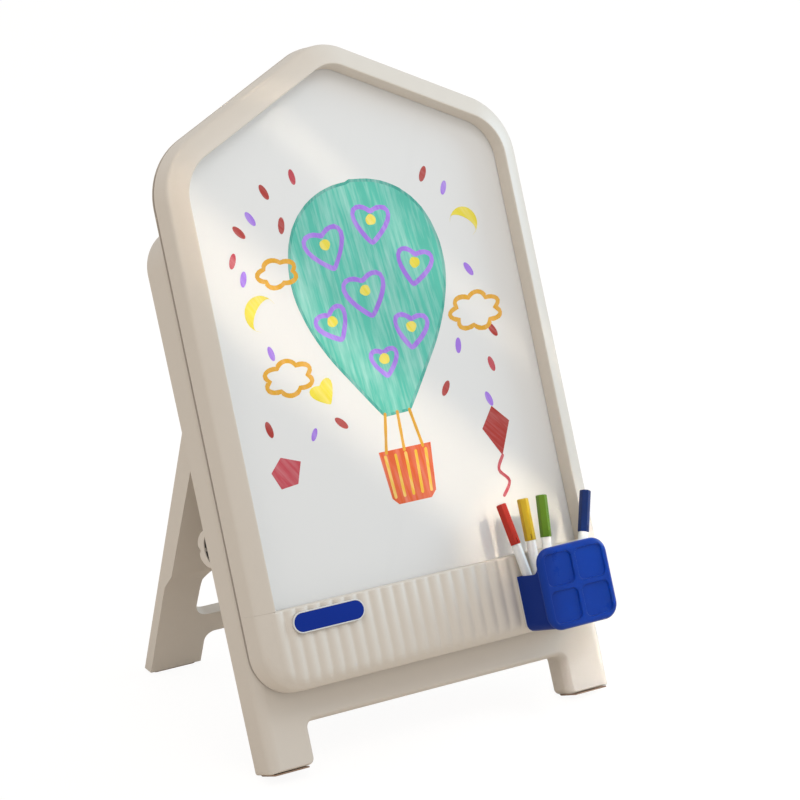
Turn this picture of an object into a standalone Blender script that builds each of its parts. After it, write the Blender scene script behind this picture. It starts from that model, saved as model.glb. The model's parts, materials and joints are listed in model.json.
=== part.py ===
"""Magnetic drawing board on a folding A-frame stand, with a pen box and four markers.

Lengths are in metres.  The board and the front stand are modelled in the board
plane, whose axes are u (across, to the right seen from the front), v (up along
the board, from the floor line) and n (out of the board, towards the user).
The rear leg is modelled in its own plane: u across, w up along the leg and s
towards the front, with its origin on the hinge axis.
"""

import math

import bmesh
import bpy
from mathutils import Matrix, Vector

MM = 0.001

# General
GAP = 0.3 * MM
OVERRUN = 3.0 * MM
BOARD_LEAN = math.radians(24.5)
LEG_LEAN = math.radians(16.55)
ROUND_STEPS = 12

# Board outline and build-up
BOARD_HALF_WIDTH = 213.3 * MM
BOARD_BOTTOM = 76.5 * MM
BOARD_SIDE_LENGTH = 556.0 * MM
ROOF_RISE = 104.5 * MM
EAVE_RADIUS = 75.0 * MM
APEX_RADIUS = 60.0 * MM
CHIN_RADIUS = 45.0 * MM
BACK_THICKNESS = 3.0 * MM
CORE_THICKNESS = 16.8 * MM
SHEET_THICKNESS = 0.8 * MM
SKIRT_WALL = 3.0 * MM

# Frame moulding
SIDE_DRAFT = 1.8 * MM
SIDE_HEIGHT = 26.0 * MM
FACE_WIDTH = 22.8 * MM
ROOF_FACE_SHARE = 1.13
FACE_HEIGHT = 41.0 * MM
LIP_DRAFT = 1.3 * MM
LIP_WALL = 3.0 * MM
FACE_WALL = 3.4 * MM
FACE_CROWN_SHARES = (
    (0.03, 0.16),
    (0.09, 0.29),
    (0.20, 0.42),
    (0.42, 0.63),
    (0.68, 0.84),
    (0.88, 0.95),
    (0.97, 0.985),
    (1.00, 0.94),
)

# Fluted apron
APRON_HEIGHT = 86.5 * MM
APRON_FACE = 39.8 * MM
PILLOW_WIDTH = 20.0 * MM
PILLOW_ROW_SHARES = (0.0, 0.03, 0.12, 0.30, 0.55, 0.80)
RIB_SIDE_MARGIN = 16.7 * MM
RIB_PITCH = 14.43 * MM
RIB_DEPTH = 1.7 * MM
RIB_END_INSET = 9.0 * MM
RIB_END_FADE = 7.0 * MM
RIB_COLUMN_SHARES = (-1.0, -0.5, 0.0, 0.5)
RIB_TOP_FADE = 3.0 * MM
APRON_TOP_ROUND = 1.6 * MM
APRON_WALL = 5.0 * MM

# Badge
BADGE_LENGTH = 84.4 * MM
BADGE_HEIGHT = 22.0 * MM
BADGE_SIDE_MARGIN = 37.2 * MM
BADGE_TOP_MARGIN = 5.5 * MM
BADGE_THICKNESS = 2.2 * MM
BADGE_RIM = 1.4 * MM
BADGE_RECESS = 0.7 * MM
BADGE_EDGE = 0.4 * MM

# Front stand
STAND_REVEAL = 1.3 * MM
STAND_TOP_DROP = 62.5 * MM
STAND_TOP_RADIUS = 45.0 * MM
STAND_DEPTH = 38.8 * MM
STAND_DEPTH_GAIN = 9.5 * MM
STAND_FRONT_ROUND = 12.0 * MM
STAND_BACK_ROUND = 2.0 * MM
FOOT_DRAFT = 3.2 * MM
FOOT_WIDTH = 53.5 * MM
FOOT_END = 0.3 * MM
FOOT_INNER_RADIUS = 8.0 * MM
FOOT_OUTER_RADIUS = 3.0 * MM
RAIL_BOTTOM = 43.0 * MM
RAIL_HEIGHT = 97.0 * MM
RAIL_CORNER_RADIUS = 6.0 * MM
STAND_WEB = 5.0 * MM
STAND_WALL = 8.0 * MM
POST_WIDTH = 15.5 * MM
LEG_BAY_ABOVE_PIVOT = 40.0 * MM
LEG_BAY_RADIUS = 6.0 * MM
WEB_SIDE_WIDTH = 30.5 * MM
WEB_TOP_WIDTH = 32.0 * MM
WINDOW_SILL = 12.0 * MM
WINDOW_RADIUS = 20.0 * MM

# Rear leg
PIVOT_UP = 384.0 * MM
PIVOT_BEHIND_STAND = 0.7 * MM
LEG_SIDE_GAP = 2.5 * MM
LEG_BACK = 15.0 * MM
LEG_FRONT = 15.0 * MM
LEG_THIN = 14.0 * MM
LEG_STEP_THICKNESS = 24.0 * MM
STEP_LOW = 126.5 * MM
STEP_LENGTH = 23.0 * MM
LEG_TAIL = 34.8 * MM
LEG_TOP_RADIUS = 26.0 * MM
LEG_FOOT_WIDTH = 62.0 * MM
LEG_ARCH_HEIGHT = 47.0 * MM
LEG_ARCH_RADIUS = 12.0 * MM
LEG_FOOT_RADIUS = 4.0 * MM
LEG_CHEEK_WIDTH = 44.0 * MM
LEG_OPENING_SILL = 73.6 * MM
LEG_OPENING_HEIGHT = 107.4 * MM
LEG_OPENING_LOW_RADIUS = 17.0 * MM
LEG_OPENING_TOP_RADIUS = 68.0 * MM
LEG_OPENING_TAPER = 3.0 * MM
LEG_RIM = 6.0 * MM
LEG_SKIN = 4.0 * MM
LEG_RIB = 3.0 * MM
LEG_RIB_COUNT = 4
PIN_RADIUS = 4.0 * MM
PIN_BORE_GAP = 0.25 * MM
PIN_IN_LEG = 15.0 * MM
PIN_IN_POST = 10.0 * MM

# Foot pads
PAD_THICKNESS = 1.6 * MM
PAD_MARGIN = 5.0 * MM
PAD_RADIUS = 4.0 * MM
PAD_FRONT = 4.0 * MM
PAD_BACK = 4.0 * MM

# Wing knob on the back of the left post
KNOB_ABOVE_RAIL = 97.0 * MM
KNOB_HALF_LENGTH = 20.0 * MM
KNOB_HEIGHT = 23.0 * MM
KNOB_THICKNESS = 9.0 * MM
KNOB_EDGE = 1.6 * MM
KNOB_OUTER_INSET = 2.5 * MM
KNOB_BOLT_RADIUS = 1.6 * MM
KNOB_BOLT_IN_POST = 12.0 * MM
KNOB_BOLT_HEAD_RADIUS = 3.0 * MM
KNOB_BOLT_HEAD_DEPTH = 5.0 * MM
KNOB_OUTLINE_SHARES = (
    (-1.00, 0.0),
    (-1.00, 0.22),
    (-0.90, 0.52),
    (-0.66, 0.83),
    (-0.40, 0.98),
    (-0.20, 0.98),
    (0.00, 0.84),
    (0.20, 0.98),
    (0.40, 0.98),
    (0.66, 0.83),
    (0.90, 0.52),
    (1.00, 0.22),
    (1.00, 0.0),
    (0.75, 0.07),
    (0.38, 0.14),
    (0.00, 0.16),
    (-0.38, 0.14),
    (-0.75, 0.07),
)

# Screws that hold the board to the stand
SCREW_SHANK_RADIUS = 1.8 * MM
SCREW_HEAD_RADIUS = 4.2 * MM
SCREW_HEAD_HEIGHT = 2.4 * MM
SCREW_BITE = 12.0 * MM
SCREW_HOLE_GAP = 0.4 * MM
SCREW_SIDE_HEIGHT_SHARES = (0.22, 0.80)
SCREW_TOP_SHARE = 0.58

# Pen box
BOX_SIDE_MARGIN = 36.9 * MM
BOX_RISE = 3.5 * MM
BOX_WIDTH = 82.0 * MM
BOX_SIDE_HEIGHT = 60.0 * MM
BOX_FRONT_HEIGHT = 79.0 * MM
BOX_DEPTH = 45.0 * MM
BOX_WALL = 1.6 * MM
BOX_FLOOR = 2.4 * MM
BOX_CORNER_RADIUS = 9.0 * MM
BOX_FILLET = 11.0 * MM
BOX_PAD_THICKNESS = 1.8 * MM
MAGNET_RADIUS = 7.0 * MM
MAGNET_THICKNESS = 1.4 * MM
MAGNET_SPREAD_SHARE = 0.28
MAGNET_HEIGHT_SHARE = 0.5
PLATE_SIZE = 87.4 * MM
PLATE_DROP = 2.2 * MM
PLATE_THICKNESS = 6.8 * MM
PLATE_RADIUS = 14.0 * MM
PLATE_EDGE = 3.6 * MM
PLATE_RIM = 6.4 * MM
PLATE_BAR = 5.6 * MM
PANE_DEPTH = 2.4 * MM
PANE_RADIUS = 4.5 * MM
PANE_DRAFT = 0.8 * MM

# Markers
MARKER_LENGTH = 136.5 * MM
CAP_LENGTH = 45.0 * MM
CAP_FLATS = 10.7 * MM
CAP_CORNER_RADIUS = 1.0 * MM
CAP_CROWN = 3.0 * MM
CAP_BORE_RADIUS = 4.3 * MM
CAP_BORE_DEPTH = 20.0 * MM
BARREL_RADIUS = 5.1 * MM
NECK_RADIUS = 4.0 * MM
NECK_LENGTH = 9.0 * MM
NIB_RADIUS = 1.6 * MM
NIB_TIP_RADIUS = 0.6 * MM
NIB_LENGTH = 5.0 * MM
NIB_SEAT = 6.0 * MM
PLUG_FLANGE = 2.6 * MM
PLUG_SPIGOT_RADIUS = 3.3 * MM
PLUG_SPIGOT = 3.0 * MM
EDGE_ROUND = 0.5 * MM
MARKER_SIDES = 12

# Each marker: name, cap colour, foot place as shares of the box's inside
# width and depth, and its lean to the right and towards the board in degrees.
MARKER_PLACE_SHARES = (
    ("red", (0.70, 0.055, 0.03), 0.141, 0.392, -5.5, 8.2),
    ("yellow", (0.80, 0.48, 0.03), 0.227, 0.164, 1.6, 1.3),
    ("green", (0.13, 0.28, 0.025), 0.374, 0.160, 6.7, 1.1),
    ("blue", (0.012, 0.04, 0.24), 0.648, 0.463, 18.7, 2.3),
)

# How far each cap is turned on its barrel, as a share of one of its six sides
CAP_TURN_SHARES = {"red": 0.0, "yellow": 0.5, "green": 0.5, "blue": 0.5}

PLASTIC_BEIGE = (0.60, 0.55, 0.48)
WHITE = (0.80, 0.80, 0.79)
BOX_BLUE = (0.01, 0.045, 0.30)
BADGE_BLUE = (0.01, 0.035, 0.26)
RUBBER_BROWN = (0.09, 0.045, 0.03)
STEEL = (0.55, 0.55, 0.56)
CARD_BROWN = (0.32, 0.22, 0.13)

# Sizes worked out from the ones above
BOARD_INSET = SKIRT_WALL + SIDE_DRAFT + 2 * GAP
BACK_LEVEL = GAP
CORE_LEVEL = BACK_LEVEL + BACK_THICKNESS + GAP
SHEET_LEVEL = CORE_LEVEL + CORE_THICKNESS + GAP
LIP_LEVEL = SHEET_LEVEL + SHEET_THICKNESS + GAP
EAVE_HEIGHT = BOARD_BOTTOM + BOARD_SIDE_LENGTH
APEX_HEIGHT = EAVE_HEIGHT + ROOF_RISE
APRON_TOP = BOARD_BOTTOM + APRON_HEIGHT
BADGE_CENTRE_U = BADGE_SIDE_MARGIN + BADGE_LENGTH / 2 - BOARD_HALF_WIDTH
BOX_CENTRE_U = BOARD_HALF_WIDTH - BOX_SIDE_MARGIN - BOX_WIDTH / 2
BOX_BOTTOM = BOARD_BOTTOM + BOX_RISE
STAND_HALF_WIDTH = BOARD_HALF_WIDTH - STAND_REVEAL
STAND_TOP = EAVE_HEIGHT - STAND_TOP_DROP
FOOT_INNER = STAND_HALF_WIDTH - FOOT_WIDTH
RAIL_TOP = RAIL_BOTTOM + RAIL_HEIGHT
LEG_BAY_HALF_WIDTH = STAND_HALF_WIDTH - POST_WIDTH
LEG_BAY_TOP = PIVOT_UP + LEG_BAY_ABOVE_PIVOT
WINDOW_HALF_WIDTH = LEG_BAY_HALF_WIDTH - WEB_SIDE_WIDTH
WINDOW_TOP = LEG_BAY_TOP - WEB_TOP_WIDTH
PIVOT_DEPTH = STAND_DEPTH + PIVOT_BEHIND_STAND
LEG_HALF_WIDTH = LEG_BAY_HALF_WIDTH - LEG_SIDE_GAP
LEG_FOOT_INNER = LEG_HALF_WIDTH - LEG_FOOT_WIDTH
LEG_OPENING_HALF_WIDTH = LEG_HALF_WIDTH - LEG_CHEEK_WIDTH
LEG_OPENING_TOP = LEG_OPENING_SILL + LEG_OPENING_HEIGHT
STEP_HIGH = STEP_LOW + STEP_LENGTH
KNOB_UP = RAIL_TOP + KNOB_ABOVE_RAIL
RIB_CREST = APRON_FACE + RIB_DEPTH
RIB_SPAN = 2 * (BOARD_HALF_WIDTH - SIDE_DRAFT - RIB_SIDE_MARGIN)
RIB_COUNT = round(RIB_SPAN / RIB_PITCH)
PLUG_TOP = PLUG_FLANGE + PLUG_SPIGOT
CAP_START = MARKER_LENGTH - CAP_LENGTH
PAD_TOP = FOOT_END + GAP
PAD_HEEL = STAND_DEPTH - STAND_BACK_ROUND
PLANE_LIFT = PAD_TOP * math.cos(BOARD_LEAN) + PAD_HEEL * math.sin(BOARD_LEAN)
PIVOT_HEIGHT = PLANE_LIFT + PIVOT_UP * math.cos(BOARD_LEAN) - PIVOT_DEPTH * math.sin(BOARD_LEAN)
LEG_REACH = (PIVOT_HEIGHT + LEG_BACK * math.sin(LEG_LEAN)) / math.cos(LEG_LEAN)


def material(name, colour, roughness, metallic=0.0):
    """Make a plain Principled material."""
    result = bpy.data.materials.new(name)
    result.use_nodes = True
    shader = result.node_tree.nodes["Principled BSDF"]
    shader.inputs["Base Color"].default_value = (*colour, 1.0)
    shader.inputs["Roughness"].default_value = roughness
    shader.inputs["Metallic"].default_value = metallic
    result.diffuse_color = (*colour, 1.0)
    return result


def empty(name, parent=None, matrix=None):
    """Add an empty that carries other objects."""
    result = bpy.data.objects.new(name, None)
    bpy.context.collection.objects.link(result)
    result.parent = parent
    if matrix is not None:
        result.matrix_local = matrix
    return result


def rounded_outline(corners, radii, insets, steps):
    """Return a counter-clockwise outline with rounded corners.

    Each edge i runs from corner i to the next and moves inwards by insets[i].
    A corner whose step count is 0 stays sharp.
    """
    count = len(corners)
    points = [Vector(corner) for corner in corners]
    directions = [(points[(i + 1) % count] - points[i]).normalized() for i in range(count)]
    normals = [Vector((-d.y, d.x)) for d in directions]
    result = []
    for i in range(count):
        before = directions[i - 1]
        after = directions[i]
        start = points[i] + normals[i - 1] * insets[i - 1]
        other = points[i] + normals[i] * insets[i]
        cross = before.x * after.y - before.y * after.x
        along = ((other.x - start.x) * after.y - (other.y - start.y) * after.x) / cross
        corner = start + before * along
        if steps[i] == 0:
            result.append(corner)
            continue
        turn = math.atan2(cross, before.dot(after))
        mean_inset = (insets[i - 1] + insets[i]) / 2
        radius = radii[i] - math.copysign(mean_inset, cross)
        radius = max(radius, radii[i] / 20)
        tangent = radius * math.tan(abs(turn) / 2)
        first = corner - before * tangent
        side = normals[i - 1] * math.copysign(1, cross)
        centre = first + side * radius
        arm = first - centre
        for k in range(steps[i] + 1):
            angle = turn * k / steps[i]
            cosine = math.cos(angle)
            sine = math.sin(angle)
            swung = Vector((arm.x * cosine - arm.y * sine, arm.x * sine + arm.y * cosine))
            result.append(centre + swung)
    return result


def circle(radius, sides, centre=(0, 0)):
    """Return a counter-clockwise circle of points."""
    angles = [2 * math.pi * (i + 0.5) / sides for i in range(sides)]
    return [Vector((centre[0] + radius * math.cos(a), centre[1] + radius * math.sin(a))) for a in angles]


def box_outline(left, right, bottom, top, radius, steps, inset=0.0):
    """Return a rectangle with four like corners."""
    corners = ((left, bottom), (right, bottom), (right, top), (left, top))
    return rounded_outline(corners, (radius,) * 4, (inset,) * 4, (steps,) * 4)


def pill_outline(length, height, inset, steps=8):
    """Return a slot shape about the origin."""
    radius = height / 2 - inset
    straight = length / 2 - height / 2
    result = []
    for k in range(steps + 1):
        angle = -math.pi / 2 + math.pi * k / steps
        result.append(Vector((straight + radius * math.cos(angle), radius * math.sin(angle))))
    for k in range(steps + 1):
        angle = math.pi / 2 + math.pi * k / steps
        result.append(Vector((-straight + radius * math.cos(angle), radius * math.sin(angle))))
    return result


def level(outline, height):
    """Lift a flat outline to one height."""
    return [Vector((p[0], p[1], height)) for p in outline]


def new_mesh(name, bm):
    """Close up a bmesh into a mesh with outward normals."""
    bmesh.ops.recalc_face_normals(bm, faces=bm.faces)
    mesh = bpy.data.meshes.new(name)
    bm.to_mesh(mesh)
    bm.free()
    return mesh


def loft_bmesh(rings, closed=False):
    """Skin a stack of rings with equal counts, capped unless it closes on itself."""
    bm = bmesh.new()
    rows = [[bm.verts.new(p) for p in ring] for ring in rings]
    pairs = list(zip(rows, rows[1:]))
    if closed:
        pairs.append((rows[-1], rows[0]))
    count = len(rows[0])
    for low, high in pairs:
        for i in range(count):
            j = (i + 1) % count
            bm.faces.new((low[i], low[j], high[j], high[i]))
    if not closed:
        bm.faces.new(list(reversed(rows[0])))
        bm.faces.new(rows[-1])
    return bm


def loft(name, rings, closed=False):
    """Skin a stack of rings into a mesh."""
    return new_mesh(name, loft_bmesh(rings, closed))


def place(name, mesh, look, parent, matrix=None, smooth_angle=None):
    """Add a modelled piece under its parent."""
    result = bpy.data.objects.new(name, mesh)
    bpy.context.collection.objects.link(result)
    result.parent = parent
    if matrix is not None:
        result.matrix_local = matrix
    if look is not None:
        mesh.materials.append(look)
    if smooth_angle is not None:
        mesh.shade_smooth()
        mesh.set_sharp_from_angle(angle=math.radians(smooth_angle))
    return result


def cutter(name, mesh, parent, matrix=None):
    """Add a guide solid that is only used for cutting."""
    result = place(name, mesh, None, parent, matrix)
    result.hide_render = True
    result.display_type = "WIRE"
    return result


def carve(target, tool, operation="DIFFERENCE"):
    """Cut, join or intersect a piece with a guide solid."""
    modifier = target.modifiers.new(tool.name, "BOOLEAN")
    modifier.operation = operation
    modifier.solver = "EXACT"
    modifier.object = tool


def along_u(outline, low, high):
    """Turn an outline drawn in (v, n) into a prism that runs along u."""
    rings = []
    for u in (low, high):
        rings.append([Vector((u, p[0], p[1])) for p in outline])
    return rings


def rod(name, parent, look, u_low, u_high, v, n, radius, sides=ROUND_STEPS):
    """Make a round rod along u."""
    ring = circle(radius, sides, (v, n))
    return place(name, loft(name, along_u(ring, u_low, u_high)), look, parent, smooth_angle=40)


def house_outline(inset):
    """Return the board's outline, moved inwards by an inset that is wider along the roof."""
    corners = (
        (-BOARD_HALF_WIDTH, BOARD_BOTTOM),
        (BOARD_HALF_WIDTH, BOARD_BOTTOM),
        (BOARD_HALF_WIDTH, EAVE_HEIGHT),
        (0, APEX_HEIGHT),
        (-BOARD_HALF_WIDTH, EAVE_HEIGHT),
    )
    radii = (CHIN_RADIUS, CHIN_RADIUS, EAVE_RADIUS, APEX_RADIUS, EAVE_RADIUS)
    roof = inset * ROOF_FACE_SHARE
    insets = (inset, inset, roof, roof, inset)
    return rounded_outline(corners, radii, insets, (5, 5, 7, 6, 7))


def board_sheets(plane, looks):
    """Make the back cover, the core and the steel writing sheet."""
    outline = house_outline(BOARD_INSET)
    layers = (
        ("board_back", BACK_LEVEL, BACK_THICKNESS, looks["beige"]),
        ("board_core", CORE_LEVEL, CORE_THICKNESS, looks["core"]),
        ("whiteboard_sheet", SHEET_LEVEL, SHEET_THICKNESS, looks["white"]),
    )
    made = {}
    for name, low, thickness, look in layers:
        mesh = loft(name, (level(outline, low), level(outline, low + thickness)))
        made[name] = place(name, mesh, look, plane)
    return made


def board_frame(plane, looks):
    """Make the hollow moulding round the sides and roof of the board."""
    rise = FACE_HEIGHT - SIDE_HEIGHT
    run = FACE_WIDTH - SIDE_DRAFT
    profile = [(0.0, BACK_LEVEL), (SIDE_DRAFT, SIDE_HEIGHT)]
    for across_share, up_share in FACE_CROWN_SHARES:
        profile.append((SIDE_DRAFT + run * across_share, SIDE_HEIGHT + rise * up_share))
    lip_foot = FACE_WIDTH + LIP_DRAFT
    profile.append((lip_foot, LIP_LEVEL))
    profile.append((lip_foot - LIP_WALL, LIP_LEVEL))
    profile.append((FACE_WIDTH - LIP_WALL, FACE_HEIGHT - FACE_WALL - LIP_WALL))
    profile.append((SIDE_DRAFT + SKIRT_WALL, SIDE_HEIGHT - FACE_WALL / 2))
    profile.append((SKIRT_WALL, BACK_LEVEL))
    rings = [level(house_outline(inset), height) for inset, height in profile]
    bm = loft_bmesh(rings, closed=True)
    geometry = list(bm.verts) + list(bm.edges) + list(bm.faces)
    seam = Vector((0, APRON_TOP + GAP, 0))
    cut = bmesh.ops.bisect_plane(bm, geom=geometry, plane_co=seam, plane_no=(0, -1, 0), clear_outer=True)
    rim = [item for item in cut["geom_cut"] if isinstance(item, bmesh.types.BMEdge)]
    bmesh.ops.edgeloop_fill(bm, edges=rim)
    return place("board_frame", new_mesh("board_frame", bm), looks["beige"], plane, smooth_angle=35)


def apron_side(inset):
    """Return the apron's half width and bottom at one inset, and its corner radius there."""
    return BOARD_HALF_WIDTH - inset, BOARD_BOTTOM + inset, CHIN_RADIUS - inset


def apron_floor(u, inset):
    """Return where the apron's lower edge lies below a place u across."""
    half, bottom, radius = apron_side(inset)
    into = abs(u) - (half - radius)
    if into <= 0:
        return bottom
    into = min(into, radius)
    return bottom + radius - math.sqrt(radius * radius - into * into)


def apron_distance(u, v):
    """Return the distance from a point of the apron to its sides and lower edge."""
    half, bottom, radius = apron_side(SIDE_DRAFT)
    over = abs(u) - (half - radius)
    under = bottom + radius - v
    if over > 0 and under > 0:
        return max(radius - math.hypot(over, under), 0.0)
    return max(min(half - abs(u), v - bottom), 0.0)


def apron_height(u, v):
    """Return the height of the fluted face at a point."""
    distance = apron_distance(u, v)
    share = min(distance / PILLOW_WIDTH, 1.0)
    pillow = SIDE_HEIGHT + (APRON_FACE - SIDE_HEIGHT) * math.sqrt(1 - (1 - share) ** 2)
    span = RIB_COUNT * RIB_PITCH / 2
    if abs(u) >= span:
        rib = 0.0
    else:
        phase = ((u + span) / RIB_PITCH) % 1.0
        rib = 1 - (2 * phase - 1) ** 2
    fade = min(max((distance - RIB_END_INSET) / RIB_END_FADE, 0.0), 1.0)
    top_share = min(max((APRON_TOP - v) / RIB_TOP_FADE, 0.0), 1.0)
    rounding = APRON_TOP_ROUND * (1 - math.sqrt(1 - (1 - top_share) ** 2))
    rib_share = math.sqrt(fade) * math.sqrt(top_share)
    return pillow + RIB_DEPTH * rib * rib_share - rounding


def apron_columns():
    """Return the places across the apron where its face has a column of points."""
    half, _, _ = apron_side(SIDE_DRAFT)
    margin = half - RIB_COUNT * RIB_PITCH / 2
    left = [-half + PILLOW_WIDTH * share for share in PILLOW_ROW_SHARES if PILLOW_WIDTH * share < margin]
    columns = list(left)
    for rib in range(RIB_COUNT):
        middle = (rib + 0.5 - RIB_COUNT / 2) * RIB_PITCH
        columns += [middle + share * RIB_PITCH / 2 for share in RIB_COLUMN_SHARES]
    columns.append(RIB_COUNT * RIB_PITCH / 2)
    columns += [-u for u in reversed(left)]
    return columns


def apron(plane, looks):
    """Make the fluted apron below the writing sheet, open at the back."""
    columns = apron_columns()
    near = [PILLOW_WIDTH * share for share in PILLOW_ROW_SHARES]
    fade_rows = [RIB_END_INSET + RIB_END_FADE * share for share in (0.12, 0.45, 1.0)]
    near = sorted(near + fade_rows)
    bm = bmesh.new()
    grid = []
    for u in columns:
        low = apron_floor(u, SIDE_DRAFT)
        tall = APRON_TOP - RIB_TOP_FADE - low
        rows = [low + tall * min(step / tall, 1.0) for step in near]
        rows += [APRON_TOP - RIB_TOP_FADE * share for share in (1.0, 0.45, 0.12, 0.0)]
        grid.append([bm.verts.new((u, v, apron_height(u, v))) for v in rows])
    count = len(grid[0])
    for left, right in zip(grid, grid[1:]):
        for j in range(count - 1):
            bm.faces.new((left[j], right[j], right[j + 1], left[j + 1]))
    rim = [column[0] for column in grid]
    rim += grid[-1][1:]
    rim += [column[-1] for column in reversed(grid[:-1])]
    rim += list(reversed(grid[0][1:-1]))
    half, bottom, radius = apron_side(SIDE_DRAFT)
    base = []
    for vert in rim:
        u, v, _ = vert.co
        outward = Vector((0, 0))
        centre = Vector((math.copysign(half - radius, u), bottom + radius))
        if abs(u) > half - radius and v < bottom + radius:
            outward = (Vector((u, v)) - centre).normalized()
        elif abs(abs(u) - half) < GAP:
            outward = Vector((math.copysign(1, u), 0))
        elif v - bottom < GAP:
            outward = Vector((0, -1))
        base.append(bm.verts.new((u + outward.x * SIDE_DRAFT, v + outward.y * SIDE_DRAFT, BACK_LEVEL)))
    size = len(rim)
    for i in range(size):
        j = (i + 1) % size
        bm.faces.new((base[i], base[j], rim[j], rim[i]))
    bm.faces.new(list(reversed(base)))
    result = place("fluted_apron", new_mesh("fluted_apron", bm), looks["beige"], plane, smooth_angle=35)
    carve(result, apron_hollow(plane))
    return result


def apron_hollow(plane):
    """Make the guide solid that clears the board's layers and hollows the apron."""
    def ring(inset, top, height):
        half, bottom, radius = apron_side(inset)
        corners = ((-half, bottom), (half, bottom), (half, top), (-half, top))
        outline = rounded_outline(corners, (radius, radius, 0, 0), (0,) * 4, (5, 5, 0, 0))
        return level(outline, height)

    clear = BOARD_INSET - GAP
    inner = SIDE_DRAFT + PILLOW_WIDTH / 2
    rings = (
        ring(clear, APRON_TOP + OVERRUN, -OVERRUN),
        ring(clear, APRON_TOP + OVERRUN, LIP_LEVEL),
        ring(inner, APRON_TOP - APRON_WALL, LIP_LEVEL),
        ring(inner + APRON_WALL, APRON_TOP - APRON_WALL - SIDE_DRAFT, APRON_FACE - APRON_WALL),
    )
    return cutter("guide_apron_hollow", loft("guide_apron_hollow", rings), plane)


def badge(plane, looks):
    """Make the pill-shaped badge: a white rim and a bare blue face."""
    seat = Matrix.Translation((BADGE_CENTRE_U, APRON_TOP - BADGE_TOP_MARGIN - BADGE_HEIGHT / 2, RIB_CREST + GAP))
    top = BADGE_THICKNESS
    rings = (
        level(pill_outline(BADGE_LENGTH, BADGE_HEIGHT, 0), 0),
        level(pill_outline(BADGE_LENGTH, BADGE_HEIGHT, 0), top - BADGE_EDGE),
        level(pill_outline(BADGE_LENGTH, BADGE_HEIGHT, BADGE_EDGE), top),
        level(pill_outline(BADGE_LENGTH, BADGE_HEIGHT, BADGE_RIM), top),
        level(pill_outline(BADGE_LENGTH, BADGE_HEIGHT, BADGE_RIM), top - BADGE_RECESS),
    )
    place("badge_rim", loft("badge_rim", rings), looks["white"], plane, seat, 35)
    face_inset = BADGE_RIM + GAP
    face = (
        level(pill_outline(BADGE_LENGTH, BADGE_HEIGHT, face_inset), top - BADGE_RECESS + GAP),
        level(pill_outline(BADGE_LENGTH, BADGE_HEIGHT, face_inset), top - GAP / 3),
    )
    place("badge_face", loft("badge_face", face), looks["badge_blue"], plane, seat, 35)


def stand_depth(v):
    """Return how deep the stand is at a height v along it."""
    return STAND_DEPTH + STAND_DEPTH_GAIN * v / STAND_TOP


def stand_ring(inset, height=None, back_gap=0.0):
    """Return one ring of the stand, at a front level or along its slanted back."""
    floor_inset = inset / 4 if height is not None else inset
    width = STAND_HALF_WIDTH
    corners = (
        (-width, -FOOT_END),
        (-FOOT_INNER, -FOOT_END),
        (-FOOT_INNER, RAIL_BOTTOM),
        (FOOT_INNER, RAIL_BOTTOM),
        (FOOT_INNER, -FOOT_END),
        (width, -FOOT_END),
        (width, STAND_TOP),
        (-width, STAND_TOP),
    )
    inner = FOOT_INNER_RADIUS
    outer = FOOT_OUTER_RADIUS
    rail = RAIL_CORNER_RADIUS
    top = STAND_TOP_RADIUS
    radii = (outer, inner, rail, rail, inner, outer, top, top)
    inward = inset / 2 if height is not None else inset + FOOT_DRAFT
    insets = (floor_inset, inward, inward, inward, floor_inset, inset, inset, inset)
    outline = rounded_outline(corners, radii, insets, (3, 3, 3, 3, 3, 3, 6, 6))
    if height is not None:
        return level(outline, height)
    return [Vector((p.x, p.y, -stand_depth(p.y) + back_gap)) for p in outline]


def front_stand(plane, looks):
    """Make the front stand: two posts with feet, a rail and a top bar."""
    rings = []
    for step in range(5):
        angle = math.pi / 2 * step / 4
        inset = STAND_FRONT_ROUND * (1 - math.sin(angle))
        rings.append(stand_ring(inset, -STAND_FRONT_ROUND * (1 - math.cos(angle))))
    rings.append(stand_ring(0.0, None, STAND_BACK_ROUND))
    rings.append(stand_ring(STAND_BACK_ROUND, None, 0.0))
    result = place("front_stand", loft("front_stand", rings), looks["beige"], plane, smooth_angle=35)
    for tool in stand_guides(plane):
        carve(result, tool)
    return result


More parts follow.
